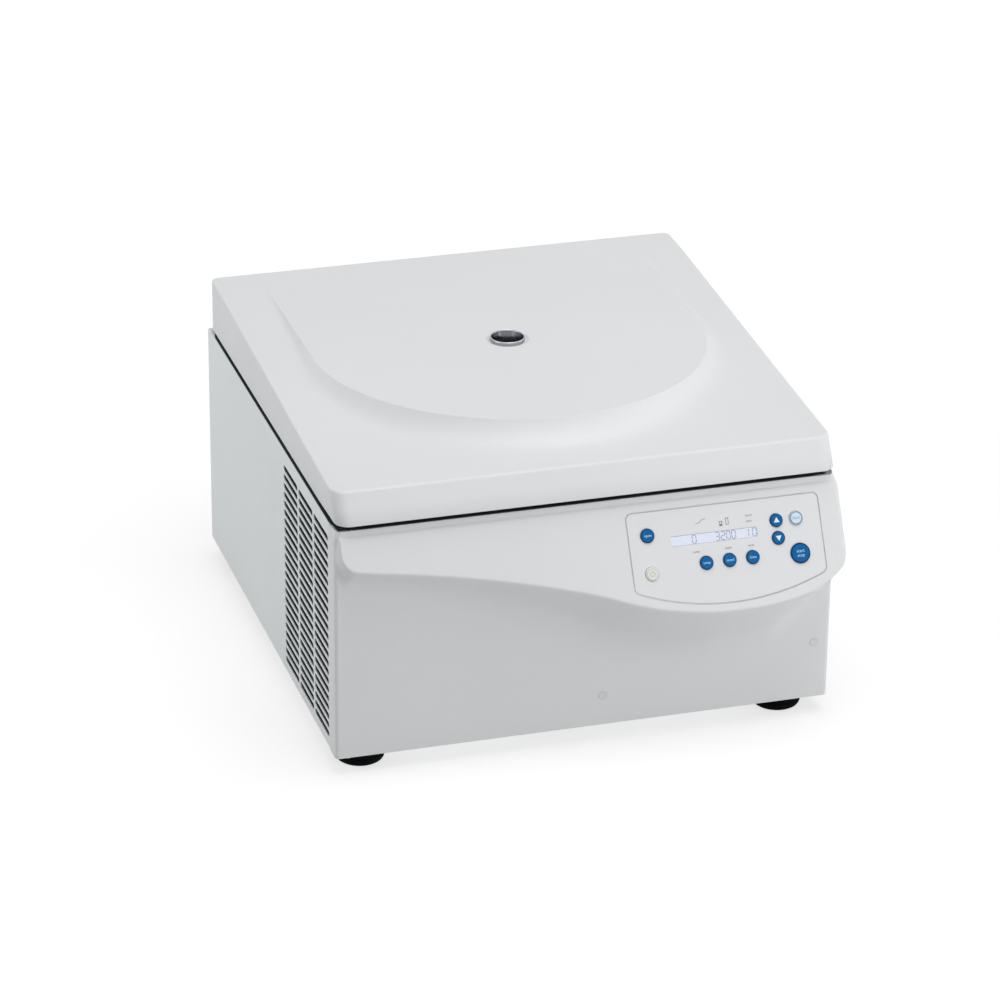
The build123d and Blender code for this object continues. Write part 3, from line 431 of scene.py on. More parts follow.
# %% Body finishes
PAINT = coat("powder_coat", (229, 235, 235), 0.46, grain=(520, 0.10, 0.00012), wear=0.06)
MOULD = coat("textured_moulding", (228, 230, 231), 0.50, grain=(1400, 0.08, 0.00008), wear=0.05)
FILM = coat("panel_film", (230, 231, 233), 0.55, grain=(2200, 0.04, 0.00005), cloud=0.004, wear=0.02)
PLUG = coat("plug_plastic", (222, 224, 226), 0.50, grain=(1400, 0.05, 0.00006))
RUBBER = coat("foot_rubber", (9, 10, 12), 0.72, grain=(1100, 0.25, 0.0002), cloud=0.12, wear=0.15,
              worn=(40, 40, 40), specular=0.04)
# Dark rubber of the rim strip; its dark is also painted shade for the gap under the lid.
STRIP_AND_GAP_SHADE = coat("rim_strip_rubber_and_gap_shade", (62, 67, 69), 0.7, grain=(1100, 0.2, 0.0001), cloud=0.1, wear=0.1,
             worn=(84, 86, 88), specular=0.06)
BLACK = coat("black_plastic", (24, 25, 27), 0.48, grain=(1500, 0.15, 0.0001), cloud=0.08, wear=0.2,
             worn=(80, 80, 82))
print("body finishes made")

# %% [markdown]
# Bare metals get their grain from the way they are worked: sheet is rolled along one direction,
# turned parts are brushed around their axis, and zinc plating crystallises into soft spangles.

# %% Metals
def around(pen, where, centre):
    """Coordinates that follow a circle about an upright axis: lines run round it."""
    x, y, z = pen.parts(where)
    x, y = x - centre[0], y - centre[1]
    return pen.vector(pen.math("ARCTAN2", y, x) * 0.02, (x * x + y * y).root(), z)


def turned(name, colour, rough, lines=1600):
    """Metal brushed around the rotor axis."""
    material, pen, shader, where = blank(name)
    fine = pen.noise(around(pen, where, (0.0, axis_y)), lines, 3.0, 0.65)
    base = srgb(*colour)
    dark = times(base, 0.82)
    stain = pen.range(pen.noise(where, 9.0, 5.0), 0.45, 0.75, 0.0, 0.25)
    pen.fill(shader, {
        "Base Color": pen.mix(stain, pen.mix(pen.spread(fine, 0.0, 1.0), dark, base), dark),
        "Metallic": 1.0,
        "Roughness": pen.spread(fine, rough - 0.07, rough + 0.07),
        "Normal": pen.bump(fine, 0.25, 0.00004),
    })
    return material


def plated(name):
    """Zinc-plated sheet with faint crystal spangles."""
    material, pen, shader, where = blank(name)
    cells = pen.node("ShaderNodeTexVoronoi", {"Vector": where, "Scale": 170.0})
    shade = pen.node("ShaderNodeSeparateColor", {0: cells.outputs["Color"]})
    tone = pen.mix(shade.outputs[0], srgb(176, 180, 184), srgb(206, 209, 211))
    rubbed = pen.math("MULTIPLY", edge_mask(pen, 0.0005), 0.4)
    scratches = pen.noise(pen.stretch(where, (1, 0.05, 1)), 1200, 2.0)
    pen.fill(shader, {
        "Base Color": pen.mix(rubbed, tone, srgb(225, 226, 228)),
        "Metallic": 0.9,
        "Roughness": pen.range(shade.outputs[1], 0.0, 1.0, 0.34, 0.48),
        "Normal": pen.bump(scratches, 0.12, 0.00004),
    })
    return material


def chromed(name):
    """Bright plating with a faint haze."""
    material, pen, shader, where = blank(name)
    haze = pen.noise(where, 140.0, 4.0)
    pen.fill(shader, {
        "Base Color": pen.mix(haze, srgb(150, 152, 158), srgb(186, 188, 194)),
        "Metallic": 1.0,
        "Roughness": pen.spread(haze, 0.10, 0.20),
        "Normal": pen.bump(pen.noise(where, 900.0), 0.03, 0.00003),
    })
    return material


print("metal finishes can be made")

# %% [markdown]
# Seven metal finishes serve all the metal parts. Where a part is only rolled, painted or wound,
# the opaque finish is enough: `brushed` stretches its grain into fine lines along one axis.

# %% Metals of the parts
STAINLESS = turned("brushed_stainless", (205, 207, 208), 0.30)
ANODISED = turned("machined_aluminium", (178, 181, 185), 0.36, lines=2400)
SHEET = coat("rolled_stainless", (198, 200, 201), 0.30, metal=1.0, brushed=(1, 0.03, 1),
             grain=(900, 0.2, 0.00006), cloud=0.06)
PRIMER = coat("grey_primer", (92, 95, 98), 0.6, grain=(700, 0.2, 0.0002), cloud=0.06, wear=0.4)
ZINC = plated("zinc_plate")
CHROME = chromed("chrome")
COPPER = coat("winding_copper", (150, 88, 52), 0.38, metal=0.7, brushed=(1, 1, 0.04),
              grain=(500, 0.5, 0.0003), cloud=0.08)
print("metals made")

# %% [markdown]
# Keys are glossy coloured plastic. Prints are thin ink that never wears here. The display is
# softly backlit, and the two panes are clear. A green finish serves the circuit boards inside.

# %% Keys, prints, display and panes
GLOSS = (1800, 0.03, 0.00004)
KEY_BLUE = coat("key_blue", (0, 100, 162), 0.48, grain=GLOSS, cloud=0.05, wear=0.15,
                worn=(60, 130, 190), specular=0.15)
# Dark navy for the ring round each blue key: painted shade of the key's rounded shoulder.
KEY_SHOULDER_SHADE = coat("key_rim", (4, 48, 92), 0.5, grain=GLOSS, cloud=0.05, wear=0.1, specular=0.15)
KEY_PALE = coat("key_white", (240, 243, 246), 0.30, grain=GLOSS, wear=0.05)
KEY_ICE = coat("key_ice", (216, 233, 246), 0.32, grain=GLOSS, wear=0.05)
KEY_IVORY = coat("key_ivory", (231, 232, 226), 0.40, grain=(1500, 0.05, 0.00005), wear=0.10)
BOARD = coat("circuit_board", (28, 92, 58), 0.42, grain=(260, 0.35, 0.0003), cloud=0.16, wear=0.3,
             worn=(150, 170, 120))


def printed(name, colour, rough, scale=2500, strength=0.03):
    return coat(name, colour, rough, grain=(scale, strength, 0.00003), wear=0.0)


INK = printed("panel_ink", (120, 124, 142), 0.6)
# Warm ink for the power sign. The same colour is also painted shade: a thin ring that stands for the
# shading of the power key's raised ring.
WARM_INK_AND_SHADE = printed("key_ink_and_painted_shade", (188, 187, 178), 0.6)
PALE_BLUE = printed("pale_blue_print", (116, 152, 180), 0.5, scale=2200)
KEY_MARK = printed("key_print", (212, 227, 242), 0.45)
DIGIT = printed("display_digit", (126, 132, 172), 0.5, strength=0.02)


def lit_display(name):
    """Pale blue backlight seen through a fine grid of cells, with a soft cloud of more light."""
    material, pen, shader, where = blank(name)
    cells = pen.node("ShaderNodeTexChecker", {"Vector": where, "Scale": 1600.0}).outputs["Fac"]
    tone = pen.mix(cells, srgb(219, 226, 240), srgb(223, 230, 243))
    tone = pen.mix(pen.spread(pen.noise(where, 12.0), 0.0, 0.5), tone, srgb(230, 236, 246))
    pen.fill(shader, {
        "Base Color": tone,
        "Emission Color": tone,
        "Emission Strength": 0.16,
        "Roughness": pen.range(cells, 0.0, 1.0, 0.4, 0.46),
        "Normal": pen.bump(cells, 0.05, 0.00003),
    })
    return material


def pane(name, colour, clear):
    """Clear plastic or glass as a thin glossy film over what lies behind it."""
    material, pen, shader, where = blank(name)
    haze = pen.noise(where, 45.0, 4.0)
    pen.fill(shader, {
        "Base Color": pen.mix(haze, srgb(*colour), srgb(*(c * 0.92 for c in colour))),
        "Roughness": pen.spread(haze, 0.03, 0.08),
        "Alpha": 1.0 - clear,
        "Normal": pen.bump(haze, 0.02, 0.00005),
    })
    return material


DISPLAY = lit_display("display_backlight")
LENS = pane("display_lens", (235, 240, 250), 0.92)
SIGHT = pane("sight_glass", (60, 66, 70), 0.62)
print("materials in all:", len(bpy.data.materials))

# %% [markdown]
# ## The lid
# The lid is one moulded shell. Seen from the side it is a wedge, higher at the back. A level
# plateau stands on it: round in front, and running straight back to the rear edge, where the
# slope reaches its height. A hollow-curved skirt joins it to the slope.
# The mesh is laid out flat first: rings around the sight glass out to the rounded outline, then
# down the sides. A Geometry Nodes rule then lifts every point of the top to its height, so the
# plateau stays one set of named numbers that can be changed at will.

# %% Beginning, end and use of a rule
def new_rule(name, inputs):
    """Node group that takes a mesh and named inputs, each given as (label, kind, value)."""
    group = bpy.data.node_groups.new(name, "GeometryNodeTree")
    face = group.interface
    face.new_socket("Geometry", in_out="INPUT", socket_type="NodeSocketGeometry")
    names = {}
    for label, kind, value in inputs:
        socket = face.new_socket(label, in_out="INPUT", socket_type="NodeSocket" + kind)
        socket.default_value = value
        names[label] = socket.identifier
    face.new_socket("Geometry", in_out="OUTPUT", socket_type="NodeSocketGeometry")
    pen = Shading(group)
    given = {o.name: Number(pen, o) for o in pen.node("NodeGroupInput").outputs}
    return (group, names), pen, given


def end_rule(pen, mesh, material):
    """Every rule ends in real geometry with its material set."""
    realise = pen.node("GeometryNodeRealizeInstances", {0: mesh})
    paint = pen.node("GeometryNodeSetMaterial", {"Geometry": realise.outputs[0], "Material": material})
    pen.node("NodeGroupOutput", {0: paint.outputs[0]})


def run_rule(obj, rule, values):
    """The plain mesh that a rule makes of an object."""
    group, names = rule
    modifier = obj.modifiers.new(group.name, "NODES")
    modifier.node_group = group
    for label, value in values.items():
        modifier[names[label]] = value
    return settled(obj)


print("rules can be written")

# %% [markdown]
# The front face leans back, and its foot and top are measured from the front panel's plane. The
# lower edge of the sides lies a little lower than that of the front.

# %% Lid sizes and the rule that raises its top
LID = dict(side=265.5, rear=542.0, corner=15.0, rear_corner=8.0, front_low=-4.7, front_top=14.5,
           low=282.4, side_low=280.2, face_height=31.0, lean=0.62, edge=2.4, plateau=339.0)


def lid_rule(material):
    """Lifts the points marked `crown` to the lid's top, less their `drop`."""
    sizes = (("Plateau radius", 213), ("Plateau height", LID["plateau"]), ("Skirt width", 47),
             ("Skirt depth", 27.8), ("Front height", 311.5), ("Slope", 27.8 / 490),
             ("Edge softness", 0.8), ("Foot softness", 9.0), ("Moat depth", 2.0))
    rule, pen, given = new_rule("lid_crown", [(label, "Float", value) for label, value in sizes])
    width, depth, height = given["Skirt width"], given["Skirt depth"], given["Plateau height"]
    across, along, level = pen.parts(pen.node("GeometryNodeInputPosition").outputs[0])
    x, y = across / mm, along / mm - axis_mm
    # Round before the axis, straight sides behind it.
    fore = y.at_most(0.0)
    reach = (x * x + fore * fore).root()
    # Circle that is level at the skirt's foot and climbs to the plateau's edge.
    bend = (width * width + depth * depth) / (depth * 2.0)
    out = (given["Plateau radius"] + width - reach).at_least(0.0)
    skirt = height - depth + (bend - (bend * bend - out * out).at_least(0.0).root())
    # Beyond the plateau's edge the circle is out of use, so it is lifted clear of it there.
    skirt = skirt + (out - width).at_least(0.0) * 1.5
    disc = pen.math("SMOOTH_MIN", skirt, height, given["Edge softness"])
    ahead = y + ((axis_y - front) / mm - LID["front_top"])
    slope = pen.math("SMOOTH_MIN", given["Front height"] + ahead * given["Slope"], height, 3.0)
    top = pen.math("SMOOTH_MAX", disc, slope, given["Foot softness"]).at_most(height)
    # A shallow moat round the sight glass.
    moat = pen.range((x * x + y * y).root(), 20.2, 23.4, given["Moat depth"], 0.0)
    moat.node.interpolation_type = "SMOOTHSTEP"
    top = top - moat
    marks = []
    for name in ("crown", "drop"):
        read = pen.node("GeometryNodeInputNamedAttribute", {"Name": name}, data_type="FLOAT")
        marks.append(Number(pen, read.outputs["Attribute"]))
    crown, drop = marks
    # Side points carry crown between 0 and 1 and are lifted in proportion.
    z = level * (1.0 - crown) + (top - drop) * mm * crown
    move = pen.node("GeometryNodeSetPosition", {"Geometry": given["Geometry"],
                                                "Position": pen.vector(across, along, z)})
    end_rule(pen, move.outputs[0], material)
    return rule


raise_top = lid_rule(MOULD)
print("lid rule has", len(raise_top[0].nodes), "nodes")

# %% [markdown]
# The outline is walked once per level. Its front corners have a 15 mm radius and the rear ones
# 8 mm. As the front face leans back, each higher level starts a little further behind.
# The top edge rolls over in a tight curve of about 2 mm, and the rear lower edge rises in an arc
# about the hinge line, which is what lets the lid swing up without touching the housing.

# %% Rings of the lid
HINGE = dict(y=529.0, z=294.0, clear=16.5)      # hinge line, and the arc that clears it


def outline(front_y, inset, per_side=46, per_corner=9):
    """Points round the lid's plan, y measured from the front plane."""
    x = LID["side"] - inset
    y0, y1 = front_y + inset, LID["rear"] - inset
    r0, r1 = LID["corner"] - inset, LID["rear_corner"] - inset
    corners = [arc(cx, cy, r, start, 90, per_corner - 1) for cx, cy, r, start in (
        (x - r0, y0 + r0, r0, -90), (x - r1, y1 - r1, r1, 0),
        (-x + r1, y1 - r1, r1, 90), (-x + r0, y0 + r0, r0, 180))]
    points = []
    for corner, following in zip(corners, corners[1:] + corners[:1]):
        last, ahead = corner[-1], following[0]
        points += corner
        points += [(last[0] + t * (ahead[0] - last[0]), last[1] + t * (ahead[1] - last[1]))
                   for t in (step / per_side for step in range(1, per_side))]
    return points


def lower_edge(y):
    """The sides come lower than the front; at the back the edge clears the housing on an arc."""
    low = float(np.interp(y, (10.0, 70.0), (LID["low"], LID["side_low"])))
    if y <= HINGE["y"]:
        return low
    swing = HINGE["clear"] ** 2 - (y - HINGE["y"]) ** 2
    return max(low, HINGE["z"] - math.sqrt(max(swing, 0)))


def on_circle(p, r):
    """p drawn in to the ring of radius r: round before the axis, square behind it."""
    dx, dy = p[0], p[1] - AXIS_IN
    length = math.hypot(dx, dy)
    square = r / (LID["side"] - LID["edge"]) if dy > 0 else r / length
    blend = min(max((r - 34) / 160, 0.0), 1.0)
    scale = blend * square + (1 - blend) * r / length
    return dx * scale, AXIS_IN + dy * scale, 0.0


def blend_point(a, b, t):
    return tuple(a[i] + t * (b[i] - a[i]) for i in range(3))


print("points in a ring of the lid:", len(outline(0, 0)))

# %% [markdown]
# The rings become one sheet of quads, from the lower edge up the sides, over the rolled edge and
# in to the sight glass. Each ring is marked with its share of the top's height, and with how far
# it stays below the top, for the rule to read.

# %% Lid sheet
def lid_mesh():
    """Rings from the lower edge up the sides, over the rolled edge and in to the sight glass."""
    rings, crown, drop = [], [], []
    edge = LID["edge"]

    def ring(points, share=1.0, lowered=0.0):
        rings.append(points)
        crown.append(share)
        drop.append(lowered)

    for share, inset in ((0.0, 0.4), (0.02, 0.0), (0.5, 0.0), (0.97, 0.0)):
        start = LID["front_low"] + LID["lean"] * (LID["face_height"] - edge) * share
        # Only the upper part of the side is lowered by the whole height of the rolled edge.
        lowered = edge if share > 0.6 else edge * share
        ring([(x, y, lower_edge(y)) for x, y in outline(start, inset)], share, lowered)
    turns = 7
    for step in range(turns):
        t = step / (turns - 1)
        ahead = LID["front_top"] - LID["lean"] * edge * (1 - t) ** 2
        ring([(x, y, 0.0) for x, y in outline(ahead, edge * t * t)], 1.0, edge * (1 - t) ** 2)
    rim = rings[-1]
    widest = 258
    for share in (0.12, 0.26, 0.42, 0.6, 0.8):
        ring([blend_point(p, on_circle(p, widest), share) for p in rim])
    # The rings lie closest where the top bends: at the plateau's edge and in the moat.
    for r in (widest, 256, 253, 249, 244, 238, 232, 226, 221, 217, 215, 214.2, 213.7, 213.3, 213,
              212.7, 212.3, 211.5, 209, 195, 162, 120, 80, 50, 32, 25, 23.4, 22.7, 22, 21.4, 20.8,
              20.2, 19.4, 18.0):
        ring([on_circle(p, r) for p in rim])
    count = len(rim)
    mesh = bpy.data.meshes.new("lid_sheet")
    mesh.from_pydata([(x * mm, front + y * mm, z * mm) for points in rings for x, y, z in points], [],
                     grid_faces(len(rings), count, closed=True))
    for name, values in (("crown", crown), ("drop", drop)):
        layer = mesh.attributes.new(name, "FLOAT", "POINT")
        layer.data.foreach_set("value", [v for v in values for _ in range(count)])
    return mesh


sheet = scratch(lid_mesh())
print("lid sheet:", len(sheet.data.polygons), "faces")

# %% [markdown]
# The rule raises the sheet's top, and Solidify gives it the even wall of a moulding. The slots
# for the hinge arms are cut last, through the finished wall.

# %% Lid
WALL = 3.0      # of the lid and of the front moulding


def give_wall(obj, faces_out, even=False):
    """Thicken a sheet towards its inside."""
    solid = obj.modifiers.new("thickness", "SOLIDIFY")
    solid.thickness = WALL * mm
    solid.offset = -1.0 if faces_out else 1.0
    solid.use_even_offset = even
    obj.data = settled(obj)


sheet.data = run_rule(sheet, raise_top, {"Plateau height": LID["plateau"]})
near_glass = sheet.data.polygons[len(sheet.data.polygons) - 5]
give_wall(sheet, near_glass.normal.z > 0, even=True)
# Two slots in the rear wall let the hinge arms through.
arm_x, arm_half = 170, 11.5
rear_wall = (front_mm + HINGE["y"], front_mm + LID["rear"] + 3)
arm_slots = [boxed((side * arm_x - arm_half, side * arm_x + arm_half), rear_wall, (275, 303))
             for side in (-1, 1)]
lid_skin = cut(sheet, arm_slots)
outward(lid_skin)
bpy.data.objects.remove(sheet)
lid = adopt("lid_shell_skin", lid_skin, "lid", MOULD, ["lid_shell"], smooth=40)
print("lid:", len(lid.data.polygons), "faces")

# %% [markdown]
# ## The front moulding
# The front is a shallow tray that wraps round the housing's front, with the console growing out
# of it. Its upper part is a sloping face. Below an S-shaped lip the moulding falls back at about
# 45 degrees, more steeply at its ends, and runs into the upright wall in a hollow curve.
# Each column of the skin is one upright section and each row one feature that runs all the way
# along, such as the ledge or the lip. How far a point stands out depends on its distance from
# the console's outline, so the lip, its turned-up left end and the hollow below them are one
# continuous form, as they would be in a mould.

# %% The console's outline
# The lip in elevation, x and height, from the turn at the left end to the right side.
LIP = [(-246.5, 237.2), (-236, 235.6), (-215, 233.0), (-190, 229.7), (-165, 226.0), (-144, 222.7),
       (-110, 216.7), (-55, 205.0), (-3, 191.8), (36, 179.2), (66, 171.6), (106, 165.6), (137, 164.0),
       (179, 165.1), (222, 171.8), (244, 180.9), (257, 189.0), (263, 195.6), (266, 202.7),
       (267.5, 207.0)]
END_X, END_R = -263.5, 17.0         # upright left end of the console and the turn below it


def smooth_line(points, per=12):
    """The same line through the points, as a soft curve (Catmull-Rom)."""
    out = []
    pts = [points[0]] + list(points) + [points[-1]]
    for a, b, c, d in zip(pts, pts[1:], pts[2:], pts[3:]):
        for k in range(per):
            t = k / per
            out.append(tuple(0.5 * (2 * q + (r - p) * t + (2 * p - 5 * q + 4 * r - s) * t * t
                                    + (3 * q - p - 3 * r + s) * t ** 3)
                             for p, q, r, s in zip(a, b, c, d)))
    return out + [points[-1]]


def lip_outline():
    """The console's outline in elevation: down its left end, round the turn, along the lip.

    It is carried on above the top and past the right end, so that its own ends lie far away.
    """
    line = [(END_X, 290.0), (END_X, 272.0)]
    cx, cz = END_X + END_R, LIP[0][1] + END_R
    line += [(END_X, z) for z in np.linspace(268, cz + 1, 8)]
    line += [(cx + END_R * math.cos(a), cz + END_R * math.sin(a))
             for a in np.linspace(math.pi, 1.5 * math.pi - 0.06, 16)]
    return np.array(line + smooth_line(LIP)[1:] + [(290.0, 262.0)])


OUTLINE = lip_outline()
LIP_X, LIP_Z = np.array(smooth_line(LIP)).T
# How upright the outline is at each of its points: 0 where it is level, 1 at the left end.
STEPS = np.diff(OUTLINE, axis=0)
UPRIGHT = np.abs(STEPS[:, 1]) / np.hypot(*STEPS.T)
UPRIGHT = np.concatenate([UPRIGHT[:1], (UPRIGHT[:-1] + UPRIGHT[1:]) / 2, UPRIGHT[-1:]])


def lip_height(x):
    return float(np.interp(x, LIP_X, LIP_Z))


print("outline points:", len(OUTLINE))

# %% [markdown]
# Whether a place on the front lies inside the outline, and how far from it, is measured to the
# nearest point of the line. The line itself is all that has to be drawn: the forms on both sides
# follow from the distance.

# %% Distance to the outline
TOP, LEDGE, STEP = 276.0, 267.0, 4.0    # moulding's top, console's upper edge and how far it juts
TILT = math.radians(28.7)               # of the console's face, out of upright
ROOT_2 = math.sqrt(2)


def clamped(share):
    return min(max(share, 0.0), 1.0)


def ease(share):
    """0 to 1 with a soft start and a soft end."""
    t = clamped(share)
    return t * t * (3 - 2 * t)


def slope_face(z):
    """How far the sloping face stands out at a height."""
    return STEP + math.tan(TILT) * (LEDGE - z)


def to_outline(x, z):
    """(distance inside the outline, height of its nearest point, how upright it is there).

    Only the left end counts as upright; this fades out between 210 and 120 mm left of the middle.
    """
    a, b = OUTLINE[:-1], OUTLINE[1:]
    d = b - a
    t = np.clip(((x - a[:, 0]) * d[:, 0] + (z - a[:, 1]) * d[:, 1]) / (d ** 2).sum(1), 0, 1)
    near = a + d * t[:, None]
    gap = np.hypot(x - near[:, 0], z - near[:, 1])
    k = int(np.argmin(gap))
    side = d[k, 0] * (z - a[k, 1]) - d[k, 1] * (x - a[k, 0])
    upright = ((1 - t[k]) * UPRIGHT[k] + t[k] * UPRIGHT[k + 1]) * ease((-120.0 - x) / 90.0)
    return math.copysign(gap[k], side), near[k, 1], upright


print("the face stands out", round(slope_face(lip_height(137.0)), 1), "mm at the lip's lowest place")

# %% [markdown]
# Inside the outline the moulding is the sloping face, outside it the underside, which falls back
# to the wall. A soft minimum of the two rounds the lip between them, so that no edge needs a
# bevel.

# %% How far the moulding stands out
def soft_min(a, b, k):
    h = max(k - abs(a - b), 0.0) / k
    return min(a, b) - h * h * k / 4


def slack(x):
    """How much less steeply the underside falls back in the middle of the front."""
    return 0.13 * ease((x + 210.0) / 170.0) * ease((215.0 - x) / 100.0)


def hollow(reach):
    """Length of the curve, on either side of its corner, in which the underside meets the wall."""
    return min(24.0, 0.45 * reach * ROOT_2)


def stand_out(x, z, face):
    """Protrusion at (x, z): the sloping face, cut back outside the outline and faired in."""
    inside, level, upright = to_outline(x, z)
    reach = slope_face(min(level, LEDGE - 1))
    right_end = ease((x - 196.0) / 68.0)
    # The underside falls back by `steep` for each millimetre down, and meets the wall in an arc.
    # Both ends are steeper than the middle and have a tighter arc.
    steep = 1.0 + 3.2 * upright ** 3 + 0.6 * right_end - slack(x)
    tangent = hollow(reach) * (1 - 0.65 * upright) * (1 - 0.43 * right_end)
    radius = tangent / math.tan(math.radians(45) / 2)
    fall = -inside * steep
    if fall < reach - tangent / ROOT_2:
        back = reach - fall
    else:
        left = max(reach + tangent - fall, 0.0)
        back = radius - math.sqrt(radius ** 2 - left ** 2)
    soft = 3.2 + 3.0 * upright
    return max(soft_min(face, back, soft), 0.0) if back < face + soft else face


print("150 mm up, the underside stands out", round(stand_out(0.0, 150.0, slope_face(150.0)), 1), "mm")

# %% [markdown]
# A section is a list of heights with how far the face stands out at each. Every section has the
# same rows, so that they can be joined into a sheet: close ones over the ledge and the lip, wide
# ones on the face and the wall.

# %% Rows of one section
def rows_at(x):
    """(height, sloping-face protrusion) for one column, from the top edge to the foot."""
    lip = lip_height(max(x, END_X + END_R))
    # The ledge: from the top edge, which lies under the lid, out to the sloping face.
    below = 10.6
    ledge = ((0.0, 0.0), (0.5, 0.02), (3.0, 0.15), (5.2, 0.3), (5.9, 0.42), (6.3, 0.62), (6.6, 0.95),
             (6.95, 1.5), (7.35, 2.2), (7.8, 2.85), (8.5, 3.45), (9.4, slope_face(TOP - 9.4) - 0.1))
    rows = [(TOP - down, out) for down, out in ledge]
    # The sloping face, then close rows over the lip, the underside and the wall.
    foot = lip - (slope_face(lip) + hollow(slope_face(lip))) / (1.0 - slack(x)) - 4.0
    heights = [TOP - below]
    heights += [TOP - below + share * (lip + 4.5 - TOP + below) for share in np.linspace(0, 1, 22)[1:]]
    heights += [lip + z for z in (3.6, 2.9, 2.2, 1.5, 0.9, 0.3, -0.3, -0.9, -1.6, -2.4, -3.3)]
    heights += [lip - 3.3 + share * (foot - 2 - lip + 3.3) for share in np.linspace(0, 1, 22)[1:]]
    heights += [foot - 2 + share * (24.0 - foot + 2) for share in (0.2, 0.4, 0.6, 0.8, 1.0)]
    return rows + [(z, slope_face(z)) for z in heights + [21.0, 20.25, 20.0]]


print("rows in a section:", len(rows_at(200)))

# %% [markdown]
# The columns run from the left return round the corner, along the front and round to the right
# return. They stand closest together where the form turns fastest, at the console's left end.

# %% Sheet of the front moulding
RETURN_Y = 23       # how far the moulding's sides run back along the housing


def front_mesh():
    """Grid of points: columns run from the left return round the front to the right one."""
    small, large = 4.0, 5.0
    columns = []
    flat = [z for z, _ in rows_at(-HALF)]
    for y in (RETURN_Y, 18, 13, 9, 6):
        columns.append([(-HALF, y, z) for z in flat])
    left_x = [-HALF, -267.45, -267.3, -267.1, -266.8, -266.5, -266.1, -265.7, -265.3, -264.8, -264.3]
    left_x += list(np.arange(-263.8, -254, 0.7)) + list(np.arange(-254, -238, 1.3))
    middle_x = list(np.linspace(-238, 244, 84))
    right_x = [HALF - large + large * math.sin(a) for a in np.linspace(0, math.pi / 2, 12)]
    for x in left_x + middle_x + list(np.linspace(245.5, 257.5, 7))[:-1]:
        reach = max(-x - (HALF - small), 0.0)
        corner = small - math.sqrt(max(small ** 2 - reach ** 2, 0.0))
        column = []
        for z, face in rows_at(x):
            p = stand_out(x, z, face) if face > 0 else 0.0
            column.append((x, corner * max(1 - p / 3, 0) - p, z))
        columns.append(column)
    for x in right_x:
        turn = large - math.sqrt(max(large ** 2 - (x - HALF + large) ** 2, 0.0))
        columns.append([(x, turn - stand_out(x, z, face) if face > 0 else turn, z)
                        for z, face in rows_at(x)])
    last = columns[-1]
    for share in (0.06, 0.2, 0.4, 0.6, 0.8, 1.0):
        columns.append([(HALF, y + share * (RETURN_Y - y), z) for _, y, z in last])
    verts = []
    for column in columns:
        for x, y, z in column:
            # The upper corners lean in a little towards the lid.
            climb = clamped((z - 262.0) / 14.0) ** 2 * clamped(1 - y / 20.0)
            lean_in = (5.0 if x > 0 else 3.0) * climb * clamped((abs(x) - 235.0) / 30.0)
            verts.append(((x - math.copysign(lean_in, x)) * mm, front + y * mm, z * mm))
    mesh = bpy.data.meshes.new("front_sheet")
    mesh.from_pydata(verts, [], grid_faces(len(columns), len(flat)))
    return mesh


tray = scratch(front_mesh())
print("front sheet:", len(tray.data.polygons), "faces")

# %% [markdown]
# The control panel lies in a shallow pocket of the sloping face, with a narrow groove round it,
# and a deeper opening behind it takes the keys and the display. `face_place` turns a place on
# the face into a point of the part: x across, v up the slope and a depth below it.

# %% Openings of the front moulding
PANEL = dict(left=36.0, right=242.0, top=261, side=191, bow=173, corner=6.0)
GROOVE, SEAT = 1.6, 5.0     # gap round the panel's sheet, and how far the sheet rests on its rim
PLUGS = ((18.5, 54.0), (250.0, 84.0))       # x and height of the two blanking plugs
PLUG_HOLE = 4.75            # radius


def face_place(x, v, depth=0.0):
    """Point on the console's sloping face, v up the slope from its upper edge, in mm."""
    return (x, front_mm - STEP + v * math.sin(TILT) + depth * math.cos(TILT),
            LEDGE + v * math.cos(TILT) - depth * math.sin(TILT))


def on_face(z):
    """v of a height on the face."""
    return (z - LEDGE) / math.cos(TILT)


def panel_outline(grow):
    """Outline of the control panel: level top, upright sides, bowed lower edge."""
    left, right, r = PANEL["left"] - grow, PANEL["right"] + grow, PANEL["corner"] + grow
    top, side = on_face(PANEL["top"]) + grow, on_face(PANEL["side"]) - grow
    bow = on_face(PANEL["bow"]) - grow
    middle, sag = (left + right) / 2, side - bow
    radius = (((right - left) / 2) ** 2 + sag ** 2) / (2 * sag)
    # Lower corners: a circle of radius r that touches the side and the bow from inside.
    centre = bow + radius
    low = centre - math.sqrt((radius - r) ** 2 - (middle - left - r) ** 2)
    turn = math.degrees(math.atan2(low - centre, left + r - middle)) + 360
    return (arc(right - r, top - r, r, 0, 90, 8) + arc(left + r, top - r, r, 90, 90, 8)
            + arc(left + r, low, r, 180, turn - 180, 8)
            + arc(middle, centre, radius, turn, 540 - 2 * turn, 40)[1:-1]
            + arc(right - r, low, r, 540 - turn, turn - 180, 8))


def prism(points, near, far):
    """Solid between two depths under the console's face."""
    return between(*([face_place(x, v, depth) for x, v in points] for depth in (near, far)))


middle_face = min(tray.data.polygons, key=lambda f: (f.center - Vector((0, front, 0.05))).length)
give_wall(tray, middle_face.normal.y < 0)
plug_holes = [lathe([(0, front_mm - 1), (PLUG_HOLE, front_mm - 1), (PLUG_HOLE, front_mm + 5),
                     (0, front_mm + 5)], 32, place, "y") for place in PLUGS]
pocket = prism(panel_outline(GROOVE), -6.0, 1.5)
opening = prism(panel_outline(-SEAT), -1.0, 6.0)
front_skin = cut(tray, [pocket, opening] + plug_holes)
bpy.data.objects.remove(tray)
outward(front_skin)
piece = adopt("front_panel_skin", front_skin, "housing", MOULD, ["front_panel"],
              smooth=32)
print("front moulding:", len(piece.data.polygons), "faces")

# %% [markdown]
# ## Pieces that keep their CAD form
# Machined and folded parts already have the right shape, but no real edge is perfectly sharp.
# `dress` takes a welded copy of the CAD mesh and gives every sharp edge a small bevel, which is
# what catches the light on a real part.

